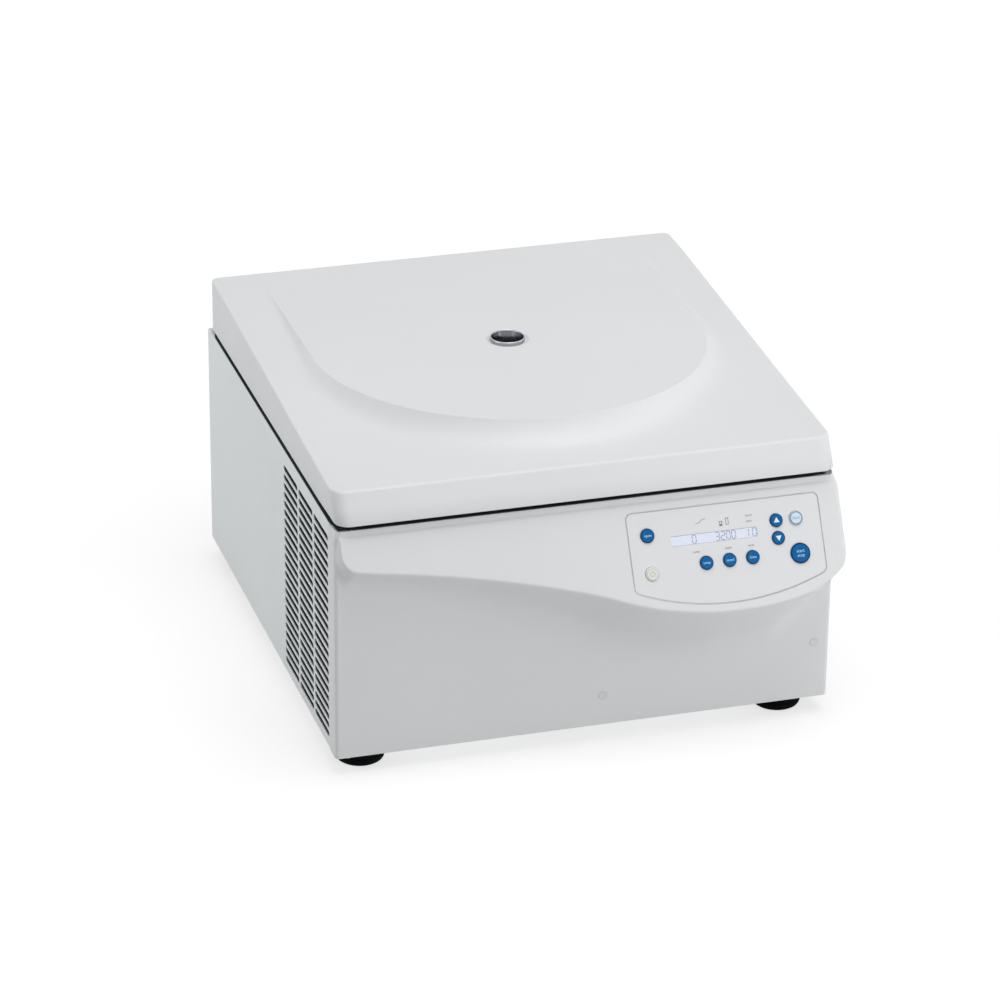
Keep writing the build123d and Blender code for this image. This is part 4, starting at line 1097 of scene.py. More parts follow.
# %% Dressing a CAD form
def welded(node):
    """Mesh of a CAD node with its triangles joined up and its flat faces made whole."""
    source = nodes[node]
    mesh = source.data.copy()
    mesh.transform(source.matrix_world)
    bm = bmesh.new()
    bm.from_mesh(mesh)
    bmesh.ops.remove_doubles(bm, verts=bm.verts, dist=2e-6)
    bmesh.ops.dissolve_limit(bm, angle_limit=math.radians(0.8), verts=bm.verts, edges=bm.edges)
    bm.to_mesh(mesh)
    bm.free()
    mesh.materials.clear()
    return mesh


def dress(node, body, material, bevel=0.5):
    """The CAD node's own form with broken edges; its flat faces stay flat in the shading."""
    obj = scratch(welded(node))
    rounding = obj.modifiers.new("edges", "BEVEL")
    rounding.width = bevel * mm
    rounding.segments = 2
    rounding.limit_method = "ANGLE"
    rounding.angle_limit = math.radians(38)
    rounding.use_clamp_overlap = True
    mesh = settled(obj)
    bpy.data.objects.remove(obj)
    return adopt(node + "_finished", mesh, body, material, [node], smooth=20)


print("dress is ready")

# %% [markdown]
# ## Feet
# Four round rubber feet, turned as one profile: a sole with a raised rim, a waist groove and a
# rounded upper shoulder. They stand where the CAD feet stand, but for a few millimetres that
# the left pair stands further out and the right pair further in.

# %% Feet
foot_low, foot_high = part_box("feet")
foot_r = 26.0
left_out, right_in = 2.5, 6.0
foot_profile = [(0, 1.4), (11, 1.4), (12, 0.3), (13, 0), (21.2, 0), (22.8, 0.4), (24.2, 1.4), (25.2, 2.8),
                (25.8, 4.6), (26, 6.4), (26, 8.6), (25.3, 9.2), (25.3, 9.9), (26, 10.5), (26, 17.6),
                (25.6, 18.9), (24.7, 19.8), (23.5, 20), (0, 20)]
feet = [lathe(foot_profile, 64, (x, y))
        for x in (foot_low.x / mm + foot_r - left_out, foot_high.x / mm - foot_r - right_in)
        for y in (foot_low.y / mm + foot_r, foot_high.y / mm - foot_r)]
make("feet_turned", *joined(feet), "housing", "rubber_black", RUBBER, ["feet"])
print("feet:", len(feet))

# %% [markdown]
# ## Sight glass in the lid
# A chromed collar with a rolled rim sits in the middle of the plateau. Below it a black sleeve
# runs down through the lid, and a thick pane closes it 12 mm under the rim's top.

# %% Collar, sleeve and pane
rim = [(17.2, 330.9), (16.0, 331.1), (15.5, 331.6), (15.5, 334.0), (17.0, 338.0), (17.1, 340.6),
       (17.25, 341.2), (17.6, 341.6), (18.1, 341.7), (18.6, 341.4), (18.9, 340.8), (19.0, 340.0),
       (19.0, 336.6), (18.6, 336.5), (17.8, 336.5), (17.5, 336.2), (17.4, 331.4)]
ring = lathe(rim + rim[:1], 96, (0, axis_mm))
make("window_collar", *ring, "lid", "chrome_trim", CHROME, ["window_ring"], smooth=50)
bore = [(15.0, 281.6), (15.0, 326.8), (15.0, 330.6), (15.6, 330.9), (16.4, 330.9), (16.5, 330.6),
        (16.5, 281.9), (16.2, 281.5), (15.2, 281.5)]
make("window_sleeve", *lathe(bore + bore[:1], 72, (0, axis_mm)), "lid", "plastic_black", BLACK)
disc = [(0, 327), (14.2, 327), (14.7, 327.2), (14.9, 327.5), (14.9, 329.5), (14.7, 329.8), (14.2, 330),
        (0, 330)]
make("sight_pane", *lathe(disc, 72, (0, axis_mm)), "lid", "sight_glass", SIGHT, ["viewing_glass"])
print("sight glass set in the lid")

# %% [markdown]
# ## Control panel
# The panel is one sheet with a window for the display. Prints are thin raised shapes, a tenth of
# a millimetre high, drawn in the sloping plane of the console. Each shape runs from a depth
# `near`, its outer side, to a depth `far`.

# %% Strokes and rings on the console's face
def bar(x0, v0, x1, v1, width, near=-0.1, far=0.05):
    """A straight stroke from one point to another."""
    length = math.hypot(x1 - x0, v1 - v0)
    nx, nv = -(v1 - v0) / length * width / 2, (x1 - x0) / length * width / 2
    return prism([(x0 - nx, v0 - nv), (x1 - nx, v1 - nv), (x1 + nx, v1 + nv), (x0 + nx, v0 + nv)],
                 near, far)


def hoop(x, v, r, width, near=-0.1, far=0.05, start=0, sweep=360, steps=40):
    """A ring, or part of one, as a flat band."""
    whole = sweep == 360
    count = steps if whole else steps + 1
    verts, faces = [], []
    for k in range(count):
        a = math.radians(start + sweep * k / steps)
        for radius, depth in ((r - width / 2, near), (r + width / 2, near), (r + width / 2, far),
                              (r - width / 2, far)):
            verts.append(face_place(x + radius * math.cos(a), v + radius * math.sin(a), depth))
    for k in range(steps):
        a, b = 4 * k, 4 * ((k + 1) % count)
        for i in range(4):
            j = (i + 1) % 4
            faces.append((a + i, a + j, b + j, b + i))
    if not whole:
        faces += [(3, 2, 1, 0), (4 * steps, 4 * steps + 1, 4 * steps + 2, 4 * steps + 3)]
    return verts, faces


print("strokes and rings can be drawn")

# %% [markdown]
# Words come from Blender's built-in typeface. A text is turned into a mesh first, and then each
# of its points is placed on the face. The display's figures are built of straight strokes, as its
# seven segments are.

# %% Lettering and figures
def words(text, size, x, v, near=-0.1, far=0.05):
    """Lettering from the built-in typeface, centred on a point of the face."""
    curve = bpy.data.curves.new("words", "FONT")
    curve.body = text
    curve.size = size
    curve.align_x, curve.align_y = "CENTER", "CENTER"
    curve.resolution_u = 2
    curve.extrude = 0.5
    obj = scratch(curve)
    mesh = settled(obj)
    bpy.data.objects.remove(obj)
    bm = bmesh.new()
    bm.from_mesh(mesh)
    bmesh.ops.remove_doubles(bm, verts=bm.verts, dist=1e-4)
    bmesh.ops.recalc_face_normals(bm, faces=bm.faces)
    verts = [face_place(x + p.co.x, v + p.co.y, near if p.co.z > 0 else far) for p in bm.verts]
    faces = [[p.index for p in f.verts] for f in bm.faces]
    bm.free()
    return verts, faces


SEGMENTS = {"0": "abcdef", "1": "bc", "2": "abged", "3": "abgcd"}


def digit(figure, x, v):
    """One seven-segment figure centred at (x, v), just above the display's surface."""
    w, h, stroke, near, far = 2.0, 4.0, 0.7, 0.36, 0.44
    place = {"a": (-w, h, w, h), "b": (w, h, w, 0), "c": (w, 0, w, -h), "d": (-w, -h, w, -h),
             "e": (-w, 0, -w, -h), "f": (-w, h, -w, 0), "g": (-w, 0, w, 0)}
    parts = []
    for letter in SEGMENTS[figure]:
        x0, v0, x1, v1 = place[letter]
        length = math.hypot(x1 - x0, v1 - v0)
        ux, uv = (x1 - x0) / length * stroke * 0.62, (v1 - v0) / length * stroke * 0.62
        parts.append(bar(x + x0 + ux, v + v0 + uv, x + x1 - ux, v + v1 - uv, stroke, near, far))
    return parts


print("figures the display can show:", " ".join(SEGMENTS))

# %% [markdown]
# The display is made as a real one is, in layers: a lit screen, figures just above it and a clear
# pane on top.

# %% Panel sheet and display
dress("control_overlay", "housing", FILM, bevel=0.35)
dress("display_module", "housing", BLACK, bevel=0.3)
SCREEN = dict(left=80.15, right=173.35, middle=on_face(232.4), half_height=4.9)


def display_layer(grow, near, far):
    """A thin sheet of the display's outline."""
    tall = SCREEN["half_height"] + grow
    return prism(rounded(SCREEN["left"] - grow, SCREEN["right"] + grow, SCREEN["middle"] - tall,
                         SCREEN["middle"] + tall, 0.4), near, far)


make("display_screen", *display_layer(0.0, 0.44, 1.62), "housing", "display_face", DISPLAY)
figures = []
figure_step = 5.8
for text, x in (("0", 105.3), ("3200", 139.2), ("10", 167.6)):
    for k, figure in enumerate(text):
        # A 1 uses only the right-hand strokes, so it is drawn in to the left.
        shift = -2.6 if figure == "1" else 0.0
        figures += digit(figure, x + figure_step * (k - (len(text) - 1) / 2) + shift, SCREEN["middle"])
make("display_figures", *joined(figures), "housing", "display_face", DIGIT)
make("display_pane", *display_layer(0.05, 0.08, 0.3), "housing", "display_glass", LENS, ["display_lens"])
print("display strokes:", len(figures))

# %% [markdown]
# The signs beside the display are a few strokes each, and the words are set in Blender's own
# typeface. All of them are one piece, because they are one printing in one ink.

# %% Prints of the panel
# Ramp sign: low line, slope, high line.
icons = [bar(108.6, -24.0, 112.2, -23.6, 0.5), bar(112.2, -23.6, 116.2, -20.4, 0.5),
         bar(116.2, -20.4, 119.6, -20.0, 0.5)]
# Two tubes, one short and one tall with a cap.
short_x = 135.4
for x, v, tall in ((short_x, -27.0, 4.6), (142.4, -25.2, 6.4)):
    low, high = v - tall / 2, v + tall / 2
    icons += [bar(x - 1.3, low, x - 1.3, high, 0.55), bar(x + 1.3, low, x + 1.3, high, 0.55),
              bar(x - 1.3, low, x + 1.3, low, 0.55), bar(x - 1.9, high, x + 1.9, high, 0.7)]
# The short one is partly full.
icons.append(bar(short_x - 0.9, -28.0, short_x + 0.9, -28.0, 1.6))
for text, size, x, v in (("short", 3.4, 166.2, -21.9), ("time", 3.4, 165.8, -27.6),
                         ("temp", 3.2, 105.8, -52.6), ("speed", 3.2, 139.9, -52.4),
                         ("timer", 3.2, 164.9, -52.6)):
    icons.append(words(text, size, x, v))
make("panel_prints", *joined(icons), "housing", "panel_film", INK)
print("panel:", len(icons), "prints")

# %% [markdown]
# ## Keys
# Each key is a shallow turned cap on its own body, so it can be pressed. The cap has a flat
# middle, a soft shoulder and a skirt that runs down into its hole. As it is round, one profile
# turned about the face's own upright makes it.

# %% Key caps
KEYS = {"key_open": (56, 240.3, 7.2), "key_power": (56, 206.0, 7.2), "key_left": (115, 210.0, 7.0),
        "key_middle": (140, 210.0, 7.0), "key_right": (165, 210.0, 7.0), "key_up": (195.1, 240.3, 6.8),
        "key_down": (195.1, 224.4, 6.8), "key_short": (216.5, 240.3, 7.2),
        "key_start": (216.5, 208.4, 10.4)}      # x, height and radius of each
KEYS = {name: (x, on_face(z), r) for name, (x, z, r) in KEYS.items()}
PALE_KEYS = {"key_power": (KEY_IVORY, "key_ivory"), "key_short": (KEY_ICE, "key_pale")}


def key_cap(x, v, r):
    """Cap turned about the face's own upright at (x, v)."""
    rise, dish = 1.6, 0.12
    profile = [(0, rise - dish), (r * 0.45, rise - dish), (r * 0.66, rise - dish * 0.7),
               (r * 0.76, rise), (r * 0.84, rise - 0.05), (r * 0.91, rise - 0.28),
               (r * 0.96, rise - 0.66), (r * 0.99, rise - 1.1), (r, rise - 1.6), (r, -2.6),
               (r - 0.3, -3.0), (0, -3.0)]
    flat, faces = lathe(profile[::-1], 64)
    return [face_place(x + px, v + pv, -h) for px, pv, h in flat], faces


for name, (x, v, r) in KEYS.items():
    finish, slot_name = PALE_KEYS.get(name, (KEY_BLUE, "key_blue"))
    make(name + "_cap", *key_cap(x, v, r), name, slot_name, finish, [name], smooth=50)
    print(name, "at", x, round(v, 1))

# %% [markdown]
# A darker ring round each blue key is painted shade, the shade of its rounded shoulder. A word or
# a sign is printed on the flat middle in another ink. Both are pieces of their own and go down
# with their key.

# %% Rims and prints of the keys
ON_CAP = (-1.56, -1.42)     # depths of a print on a cap
RING = (-1.62, -1.3)        # and of a printed ring
text_step = 4.6
for name, lines, size in (
        ("key_open", ["open"], 4.0), ("key_left", ["temp"], 3.8), ("key_middle", ["speed"], 3.6),
        ("key_right", ["time"], 4.0), ("key_start", ["start", "stop"], 4.6),
        ("key_short", ["short"], 4.0)):
    x, v, _ = KEYS[name]
    top = v + (len(lines) - 1) * text_step / 2
    signs = [words(line, size, x, top - text_step * k, *ON_CAP) for k, line in enumerate(lines)]
    ink, slot_name = (PALE_BLUE, "key_pale") if name == "key_short" else (KEY_MARK, "key_blue")
    make(name + "_print", *joined(signs), name, slot_name, ink)

for name, (x, v, r) in KEYS.items():
    if name not in PALE_KEYS:
        # The ring is painted shade: it stands for the shade on the key's rounded shoulder.
        ring = hoop(x, v, r * 0.93, r * 0.13, -1.4, -0.4)
        make(name + "_rim", *ring, name, "key_blue", KEY_SHOULDER_SHADE)

for name, way in (("key_up", 1), ("key_down", -1)):
    x, v, _ = KEYS[name]
    arrow = [(x - 3.1, v - 2.2 * way), (x + 3.1, v - 2.2 * way), (x, v + 3.3 * way)]
    make(name + "_print", *prism(arrow[::way], *ON_CAP), name, "key_blue", KEY_PALE)

x, v, _ = KEYS["key_short"]
make("key_short_ring", *hoop(x, v, 6.2, 1.2, *RING), "key_short", "key_pale", PALE_BLUE)
x, v, _ = KEYS["key_power"]
# The power sign is printed. The thin ring round it is painted shade, standing for the shading of the key's
# raised ring.
sign_and_shade_ring = [hoop(x, v, 2.5, 0.55, *ON_CAP, start=125, sweep=290, steps=28),
        bar(x, v + 0.4, x, v + 3.2, 0.55, *ON_CAP), hoop(x, v, 5.6, 0.35, *RING)]
make("key_power_print", *joined(sign_and_shade_ring), "key_power", "key_ivory", WARM_INK_AND_SHADE)
print("keys:", len(KEYS))

# %% [markdown]
# ## Side panels and their slots
# Each side is one sheet of painted steel with a field of round-ended slots. A Geometry Nodes
# rule lays the slots out as a grid of instances of one slot and gives the cutter for all of them,
# so their number and spacing are named inputs. A pleated black filter mat lies behind the field.
# Its black is also painted shade: it stands for the shade inside the housing behind the slots.

# %% A rule for rows and columns of one shape
def grid_rule(name, material):
    """Repeats the mesh it is put on over a grid with two steps."""
    rule, pen, given = new_rule(name, (("Columns", "Int", 3), ("Rows", "Int", 23),
                                       ("Step along", "Vector", (0, 0.062, 0)),
                                       ("Step up", "Vector", (0, 0, 0.0101))))
    dots = pen.node("GeometryNodeMeshLine", {"Count": given["Columns"] * given["Rows"],
                                             "Offset": (0, 0, 0)}, mode="OFFSET")
    number = Number(pen, pen.node("GeometryNodeInputIndex").outputs[0])
    column = pen.math("ROUND", pen.math("MODULO", number, given["Columns"]))
    row = pen.math("FLOOR", (number + 0.01) / given["Columns"])
    along, upward = (pen.node("ShaderNodeVectorMath", {0: given[step], "Scale": count}, operation="SCALE")
                     for step, count in (("Step along", column), ("Step up", row)))
    place = pen.node("ShaderNodeVectorMath", {0: along.outputs[0], 1: upward.outputs[0]}, operation="ADD")
    move = pen.node("GeometryNodeSetPosition", {"Geometry": dots.outputs[0], "Offset": place.outputs[0]})
    repeat = pen.node("GeometryNodeInstanceOnPoints", {"Points": move.outputs[0],
                                                       "Instance": given["Geometry"]})
    end_rule(pen, repeat.outputs[0], material)
    return rule


slot_field = grid_rule("slot_field", PAINT)
SLOT = dict(length=57.5, height=6.6, columns=3, rows=23, pitch_y=62.0, pitch_z=10.1, start=26.0,
            low=32.0, inner_x=260, outer_x=275)


def slot_cutter(side):
    """All slots of one side as a single cutter that passes through the sheet."""
    r = SLOT["height"] / 2
    reach = SLOT["length"] / 2 - r
    loop = arc(reach, 0, r, -90, 180, 6) + arc(-reach, 0, r, 90, 180, 6)
    y = front_mm + SLOT["start"] + SLOT["length"] / 2
    z = SLOT["low"] + r
    ends = ([(side * x, y + u, z + v) for u, v in loop] for x in (SLOT["inner_x"], SLOT["outer_x"]))
    obj = scratch(closed_mesh("slot", *between(*ends)))
    obj.data = run_rule(obj, slot_field, {"Columns": SLOT["columns"], "Rows": SLOT["rows"],
                                          "Step along": (0, SLOT["pitch_y"] * mm, 0),
                                          "Step up": (0, 0, SLOT["pitch_z"] * mm)})
    return obj


print("slots on a side:", SLOT["columns"] * SLOT["rows"])

# %% [markdown]
# The sheet is folded over at its upper and lower edges. Its section is a line with round folds
# that is given a thickness and drawn out along Y; then the slots are cut out of it in one go.

# %% Side panels
def strip_solid(line, inner, y0, y1):
    """The strip between two open lines of (x, z) points, drawn out along Y."""
    count, total = len(line), 2 * len(line)
    verts = [(x, y, z) for y in (y0, y1) for x, z in line + inner[::-1]]
    faces = [(k, (k + 1) % total, total + (k + 1) % total, total + k) for k in range(total)]
    for k in range(count - 1):
        a, b, c, d = k, k + 1, total - 2 - k, total - 1 - k
        faces += [(d, c, b, a), (total + a, total + b, total + c, total + d)]
    return verts, faces


def offset(line, thick):
    """The line moved sideways, square to its own run at every point."""
    out = []
    for (x, z), a, b in zip(line, line[:1] + line[:-1], line[1:] + line[-1:]):
        length = math.hypot(b[0] - a[0], b[1] - a[1])
        out.append((x - (b[1] - a[1]) / length * thick, z + (b[0] - a[0]) / length * thick))
    return out


SHEET_R, SHEET_THICK = 2.0, 1.1     # outer radius of the folds, thickness
flange_x, sheet_low, sheet_high = 249.6, 20.0, 276.0
FILTER_SHADE_MAT = dict(x=(266.05, 266.3), back=265.8, low=27.0, fold=2.0, folds=120, start=24, end=214)
for side, name in ((-1, "left_side_panel"), (1, "right_side_panel")):
    low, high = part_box(name)
    path = [(flange_x, sheet_low)] + arc(HALF - SHEET_R, sheet_low + SHEET_R, SHEET_R, -90, 90, 5)
    path += arc(HALF - SHEET_R, sheet_high - SHEET_R, SHEET_R, 0, 90, 5) + [(flange_x, sheet_high)]
    path = [(side * x, z) for x, z in path][::side]
    obj = scratch(closed_mesh("sheet", *strip_solid(path, offset(path, SHEET_THICK), low.y / mm + 0.15,
                                                    high.y / mm)))
    skin = cut_by(obj, [slot_cutter(side)])
    bpy.data.objects.remove(obj)
    outward(skin)
    adopt(name + "_skin", skin, "housing", PAINT, [name], smooth=30)
    # The black mat behind the slots is partly a filter and partly painted shade for the housing's inside.
    folds = [(side * FILTER_SHADE_MAT["x"][k % 2], FILTER_SHADE_MAT["low"] + FILTER_SHADE_MAT["fold"] * k) for k in range(FILTER_SHADE_MAT["folds"])]
    filter_shade_mat = strip_solid(folds, [(side * FILTER_SHADE_MAT["back"], z) for _, z in folds], front_mm + FILTER_SHADE_MAT["start"],
                      front_mm + FILTER_SHADE_MAT["end"])
    piece = make(name + "_filter_and_shade", *filter_shade_mat, "housing", "rubber_black", RUBBER, smooth=5)
    print(name, len(piece.data.polygons), "faces")

# %% [markdown]
# ## The dark strip and painted shade under the lid
# A thin strip of dark rubber lies on the housing's rim, below the lid's edge. It covers the joint of
# the rim. Its dark is also painted shade: it stands for the shade in the gap under the lid, so that
# the gap reads as a dark line all the way round.

# %% Rim strip
def band(outer, inner, low, high):
    """Flat closed strip between two loops of equally many points."""
    n = len(outer)
    verts = [(x, y, z) for z in (low, high) for loop in (outer, inner) for x, y in loop]
    faces = []
    for k in range(n):
        j = (k + 1) % n
        faces += [(k, j, 2 * n + j, 2 * n + k), (n + j, n + k, 3 * n + k, 3 * n + j),
                  (j, k, n + k, n + j), (2 * n + k, 2 * n + j, 3 * n + j, 3 * n + k)]
    return verts, faces


# On the left the strip lies a little further in than on the right.
outer = rounded(-264.8, 264.8, front_mm + 1.2, front_mm + 546, 26.0, 6)
outer = [(x - 1.6 if x < 0 else x, y) for x, y in outer]
inner = rounded(-255.0, 255.0, front_mm + 14, front_mm + 541.5, 3.0, 6)
strip = band(outer, inner, TOP, TOP + 0.7)
# A bar of the same dark rubber fills the gap behind the top of the front moulding. It is painted
# shade: it stands for the shade deep in the gap.
gap_shade_bar = boxed((-250, 250), (front_mm + 3.3, front_mm + 14), (TOP - 1.5, TOP + 0.02))
make("rim_strip", *joined([strip, gap_shade_bar]), "housing", "rubber_black", STRIP_AND_GAP_SHADE)
print("rim strip laid")

# %% [markdown]
# ## Blanking plugs
# Two pale plastic plugs close service holes in the front. Each is a shallow cap with a small
# raised edge. They are turned about Y, straight into place, from one profile.

# %% Front plugs
plug_profile = [(0, -0.15), (2.6, -0.15), (3.2, -0.3), (3.9, -0.4), (4.3, -0.35), (4.5, -0.1), (4.5, 3.6),
                (4.2, 4.0), (0, 4.0)]
plugs = [lathe([(r, front_mm + y) for r, y in plug_profile], 40, place, "y") for place in PLUGS]
make("front_plugs_turned", *joined(plugs), "housing", "plug_grey", PLUG, ["front_plugs"])
print("plugs:", len(plugs))

# %% [markdown]
# ## The rear
# The rear panel carries a fan with its finger guard, the mains inlet and the switch. The guard
# is bent wire, so it is drawn as wire: rings of round section on two crossed stays that end in
# eyes under the screws. A flat stamped ring would read as a casting.

# %% Rear panel and finger guard
dress("rear_panel", "housing", PAINT, bevel=0.35)
FAN = dict(x=130.0, z=104.0, pitch=105.0)       # the fan's middle, and how far apart its screws are
wire_r, wire_sides = 1.0, 10


def wire_ring(x, y, z, r, steps=72):
    """A ring of round wire that lies in a plane across Y."""
    section = [(r + wire_r * math.cos(a), y + wire_r * math.sin(a))
               for a in np.linspace(0, 2 * math.pi, wire_sides + 1)]
    return lathe(section, steps, (x, z), "y")


def wire_stay(a, b):
    """A straight wire between two points."""
    a, b = Vector(a), Vector(b)
    line = (b - a).normalized()
    u = line.cross(Vector((0, 1, 0))).normalized()
    v = line.cross(u)
    chamfer, tip_r = line * 0.4, wire_r * 0.6
    verts = []
    for centre, r in ((a, tip_r), (a + chamfer, wire_r), (b - chamfer, wire_r), (b, tip_r)):
        verts += [tuple(centre + (u * math.cos(t) + v * math.sin(t)) * r)
                  for t in np.linspace(0, 2 * math.pi, wire_sides, endpoint=False)]
    return verts, capped(4, wire_sides)


first_ring, ring_step, eye_r = 8, 9.6, 4.0
wires = [wire_ring(FAN["x"], back_mm + 3 * wire_r, FAN["z"], first_ring + ring_step * k) for k in range(6)]
stay_y = back_mm + wire_r
half_pitch = FAN["pitch"] / 2
reach = half_pitch - (eye_r - 0.2) / ROOT_2
for rise in (1, -1):
    wires.append(wire_stay(*((FAN["x"] + way * reach, stay_y, FAN["z"] + way * rise * reach)
                             for way in (-1, 1))))
    wires += [wire_ring(FAN["x"] + way * half_pitch, stay_y, FAN["z"] + way * rise * half_pitch, eye_r, 32)
              for way in (-1, 1)]
make("fan_guard_wires", *joined(wires), "housing", "stainless", SHEET, ["fan_guard"], smooth=60)
print("guard:", len(wires), "wires")

# %% [markdown]
# ## Screws
# All screws are the same pan head with a cross recess. One is turned and cut, and the grid rule
# that laid out the slots repeats it: two across and two up for the fan, two across for each row
# of the rear panel.

# %% One screw and its rows
screw_field = grid_rule("screw_rows", ZINC)
recess_long, recess_wide = 1.9, 0.42        # half the length and half the width of each slot


def one_screw(x, y, z, length):
    """Pan head whose underside lies at y, its thread pointing forward."""
    profile = [(0, -length), (1.1, -length), (1.6, -length + 0.7), (1.6, 0), (3.0, 0), (3.2, 0.25),
               (3.15, 0.9), (2.75, 1.4), (2.0, 1.7), (1.0, 1.8), (0, 1.8)]
    obj = scratch(closed_mesh("screw", *lathe([(r, y + h) for r, h in profile], 24, (x, z), "y")))
    cross = [boxed((x - wide, x + wide), (y + 0.7, y + 3), (z - tall, z + tall))
             for wide, tall in ((recess_long, recess_wide), (recess_wide, recess_long))]
    obj.data = cut(obj, cross)
    return obj


def screw_rows(name, stands_for, first, length, rows, across, upward):
    """Two screws side by side, in one row or more."""
    obj = one_screw(*first, length)
    mesh = run_rule(obj, screw_field, {"Columns": 2, "Rows": rows, "Step along": (across * mm, 0, 0),
                                       "Step up": (0, 0, upward * mm)})
    bpy.data.objects.remove(obj)
    adopt(name, mesh, "housing", ZINC, stands_for, smooth=40)


first_fan_screw = (FAN["x"] - half_pitch, back_mm + 2, FAN["z"] - half_pitch)
screw_rows("fan_screws_turned", ["fan_screws"], first_fan_screw, 14, 2, FAN["pitch"], FAN["pitch"])
edge_x = 257.5
screw_rows("rear_screws_low", ["rear_screws"], (-edge_x, back_mm, 60.0), 8, 2, 2 * edge_x, 100.0)
screw_rows("rear_screws_high", (), (-edge_x, back_mm, 250.0), 8, 1, 2 * edge_x, 100.0)
print("screws repeated")

# %% [markdown]
# ## Fan
# The frame keeps its CAD form with softened edges. The rotor's seven blades are cambered and
# thin towards their edges; each is one small grid of points wrapped over both sides.

# %% Fan frame and rotor
dress("fan_frame", "housing", BLACK, bevel=0.7)


def fan_blade(turn, sections=8, across=9):
    """One cambered blade from the hub outward, as a closed skin."""
    verts = []
    for i in range(sections):
        share = i / (sections - 1)
        r = 19.0 + 35.2 * share
        pitch = math.radians(37 - 6 * share)
        half_chord = 9.6 + 1.2 * share
        for side in (1, -1):
            for j in range(across) if side > 0 else range(across - 2, 0, -1):
                u = -1 + 2 * j / (across - 1)
                thick = side * 0.75 * math.sqrt(max(1 - u * u, 0)) + 1.3 * (1 - u * u)
                along, off = half_chord * u, thick - 0.6
                tangent = along * math.cos(pitch) - off * math.sin(pitch)
                axial = along * math.sin(pitch) + off * math.cos(pitch)
                a = turn + tangent / r
                verts.append((FAN["x"] + r * math.cos(a), back_mm - 12.85 + axial,
                              FAN["z"] + r * math.sin(a)))
    return verts, capped(sections, 2 * across - 2)


blades = 7
hub_back, hub_front = back_mm - 4.5, back_mm - 21.2
hub = [(3.35, hub_front), (17.2, hub_front), (19.4, hub_front + 0.8), (20, hub_front + 2.2)]
hub += [(r, hub_back - down) for r, down in (
    (20, 3.4), (19.3, 1.4), (17.4, 0.3), (15.6, 0), (15.2, 0.35), (6.8, 0.35), (6.4, 0), (4.2, 0),
    (3.35, 0.6))]
spinner = [lathe(hub + hub[:1], 72, (FAN["x"], FAN["z"]), "y")]
spinner += [fan_blade(2 * math.pi * k / blades) for k in range(blades)]
make("fan_rotor_turned", *joined(spinner), "fan_rotor", "plastic_black", BLACK, ["fan_rotor"], smooth=40)
print("fan blades:", blades)

# %% [markdown]
# ## Inlet and switch
# The three pins of the inlet are bare metal in a black moulding, so they are pieces of their
# own: flat blades with chamfered tips.

# %% Mains inlet, pins, switch and rocker
dress("mains_inlet", "housing", BLACK, bevel=0.5)
inlet_x, inlet_z = -196.0, 74.0
pin_root, pin_tip = back_mm - 24.0, back_mm - 5.9
# Place along the pin and its width there: the tip is chamfered in two steps.
rows = [(pin_root, 1.0), (pin_tip - 1.6, 1.0), (pin_tip - 0.5, 0.72), (pin_tip, 0.4)]
pins = []
for dx, dz in ((-7, -2), (0, 3), (7, -2)):
    x, z = inlet_x + dx, inlet_z + dz
    verts = [(x + sx * 1.06 * w, y, z + sz * (2.3 * (0.5 + 0.5 * w) + 0.05)) for y, w in rows
             for sx, sz in ((-1, -1), (1, -1), (1, 1), (-1, 1))]
    pins.append((verts, capped(4, 4)))
make("inlet_pins", *joined(pins), "housing", "zinc_steel", ZINC, smooth=25)
dress("switch_frame", "housing", BLACK, bevel=0.45)
dress("power_rocker", "power_rocker", BLACK, bevel=0.5)
print("rear fittings done")

# %% [markdown]
# ## Under the lid
# With the lid up one sees the deck, the steel bowl and the swing-out rotor. All of it is machined
# or folded metal that the CAD already draws true, so each part is taken over with broken edges
# and the finish of its own making: brushed round the axis where it is turned, rolled where it is
# sheet, plated where it is small steelwork.

# %% Bowl, deck and lid liner
STEEL, CAST = ("zinc_steel", ZINC), ("cast_aluminium", ANODISED)
for node, body, (slot_name, finish), edge in (
        ("deck_plate", "housing", STEEL, 0.4), ("lid_liner", "lid", ("stainless", SHEET), 0.35),
        ("base_plate", "housing", STEEL, 0.35), ("hinge_brackets", "housing", STEEL, 0.5),
        ("hinge_arms", "lid", STEEL, 0.6), ("latch_strikers", "lid", STEEL, 0.5),
        ("latch_hooks", "latch", STEEL, 0.5), ("latch_brackets", "housing", STEEL, 0.5),
        ("rotor_head", "rotor", CAST, 0.8), ("rotor_nut", "rotor", CAST, 0.4),
        ("plate_carrier_a", "plate_carrier_a", CAST, 0.7),
        ("plate_carrier_b", "plate_carrier_b", CAST, 0.7),
        ("mains_transformer", "housing", ("copper_core", COPPER), 0.6)):
    piece = dress(node, body, finish, bevel=edge)
    print(node, len(piece.data.polygons), "faces")

# %% [markdown]
# The bowl's gasket is a rubber bulb. Its section is one closed loop: a flat foot, two flanks and
# a rounded crest that the liner presses on.

# %% Gasket bulb
bulb = [(200.2, 276.0), (209.8, 276.0), (210.0, 276.3), (210.0, 277.5), (209.2, 279.2), (207.6, 280.6),
        (205.8, 281.15), (204.2, 281.15), (202.4, 280.6), (200.8, 279.2), (200.0, 277.5), (200.0, 276.3)]
make("chamber_gasket_bulb", *lathe(bulb + bulb[:1], 160, (0, axis_mm)), "housing", "rubber_black",
     RUBBER, ["chamber_gasket"], smooth=45)
print("gasket laid")

# %% [markdown]
# ## Finishes of the parts taken over as they are
# What stays hidden, or is already right, keeps its CAD mesh and only gets its material.

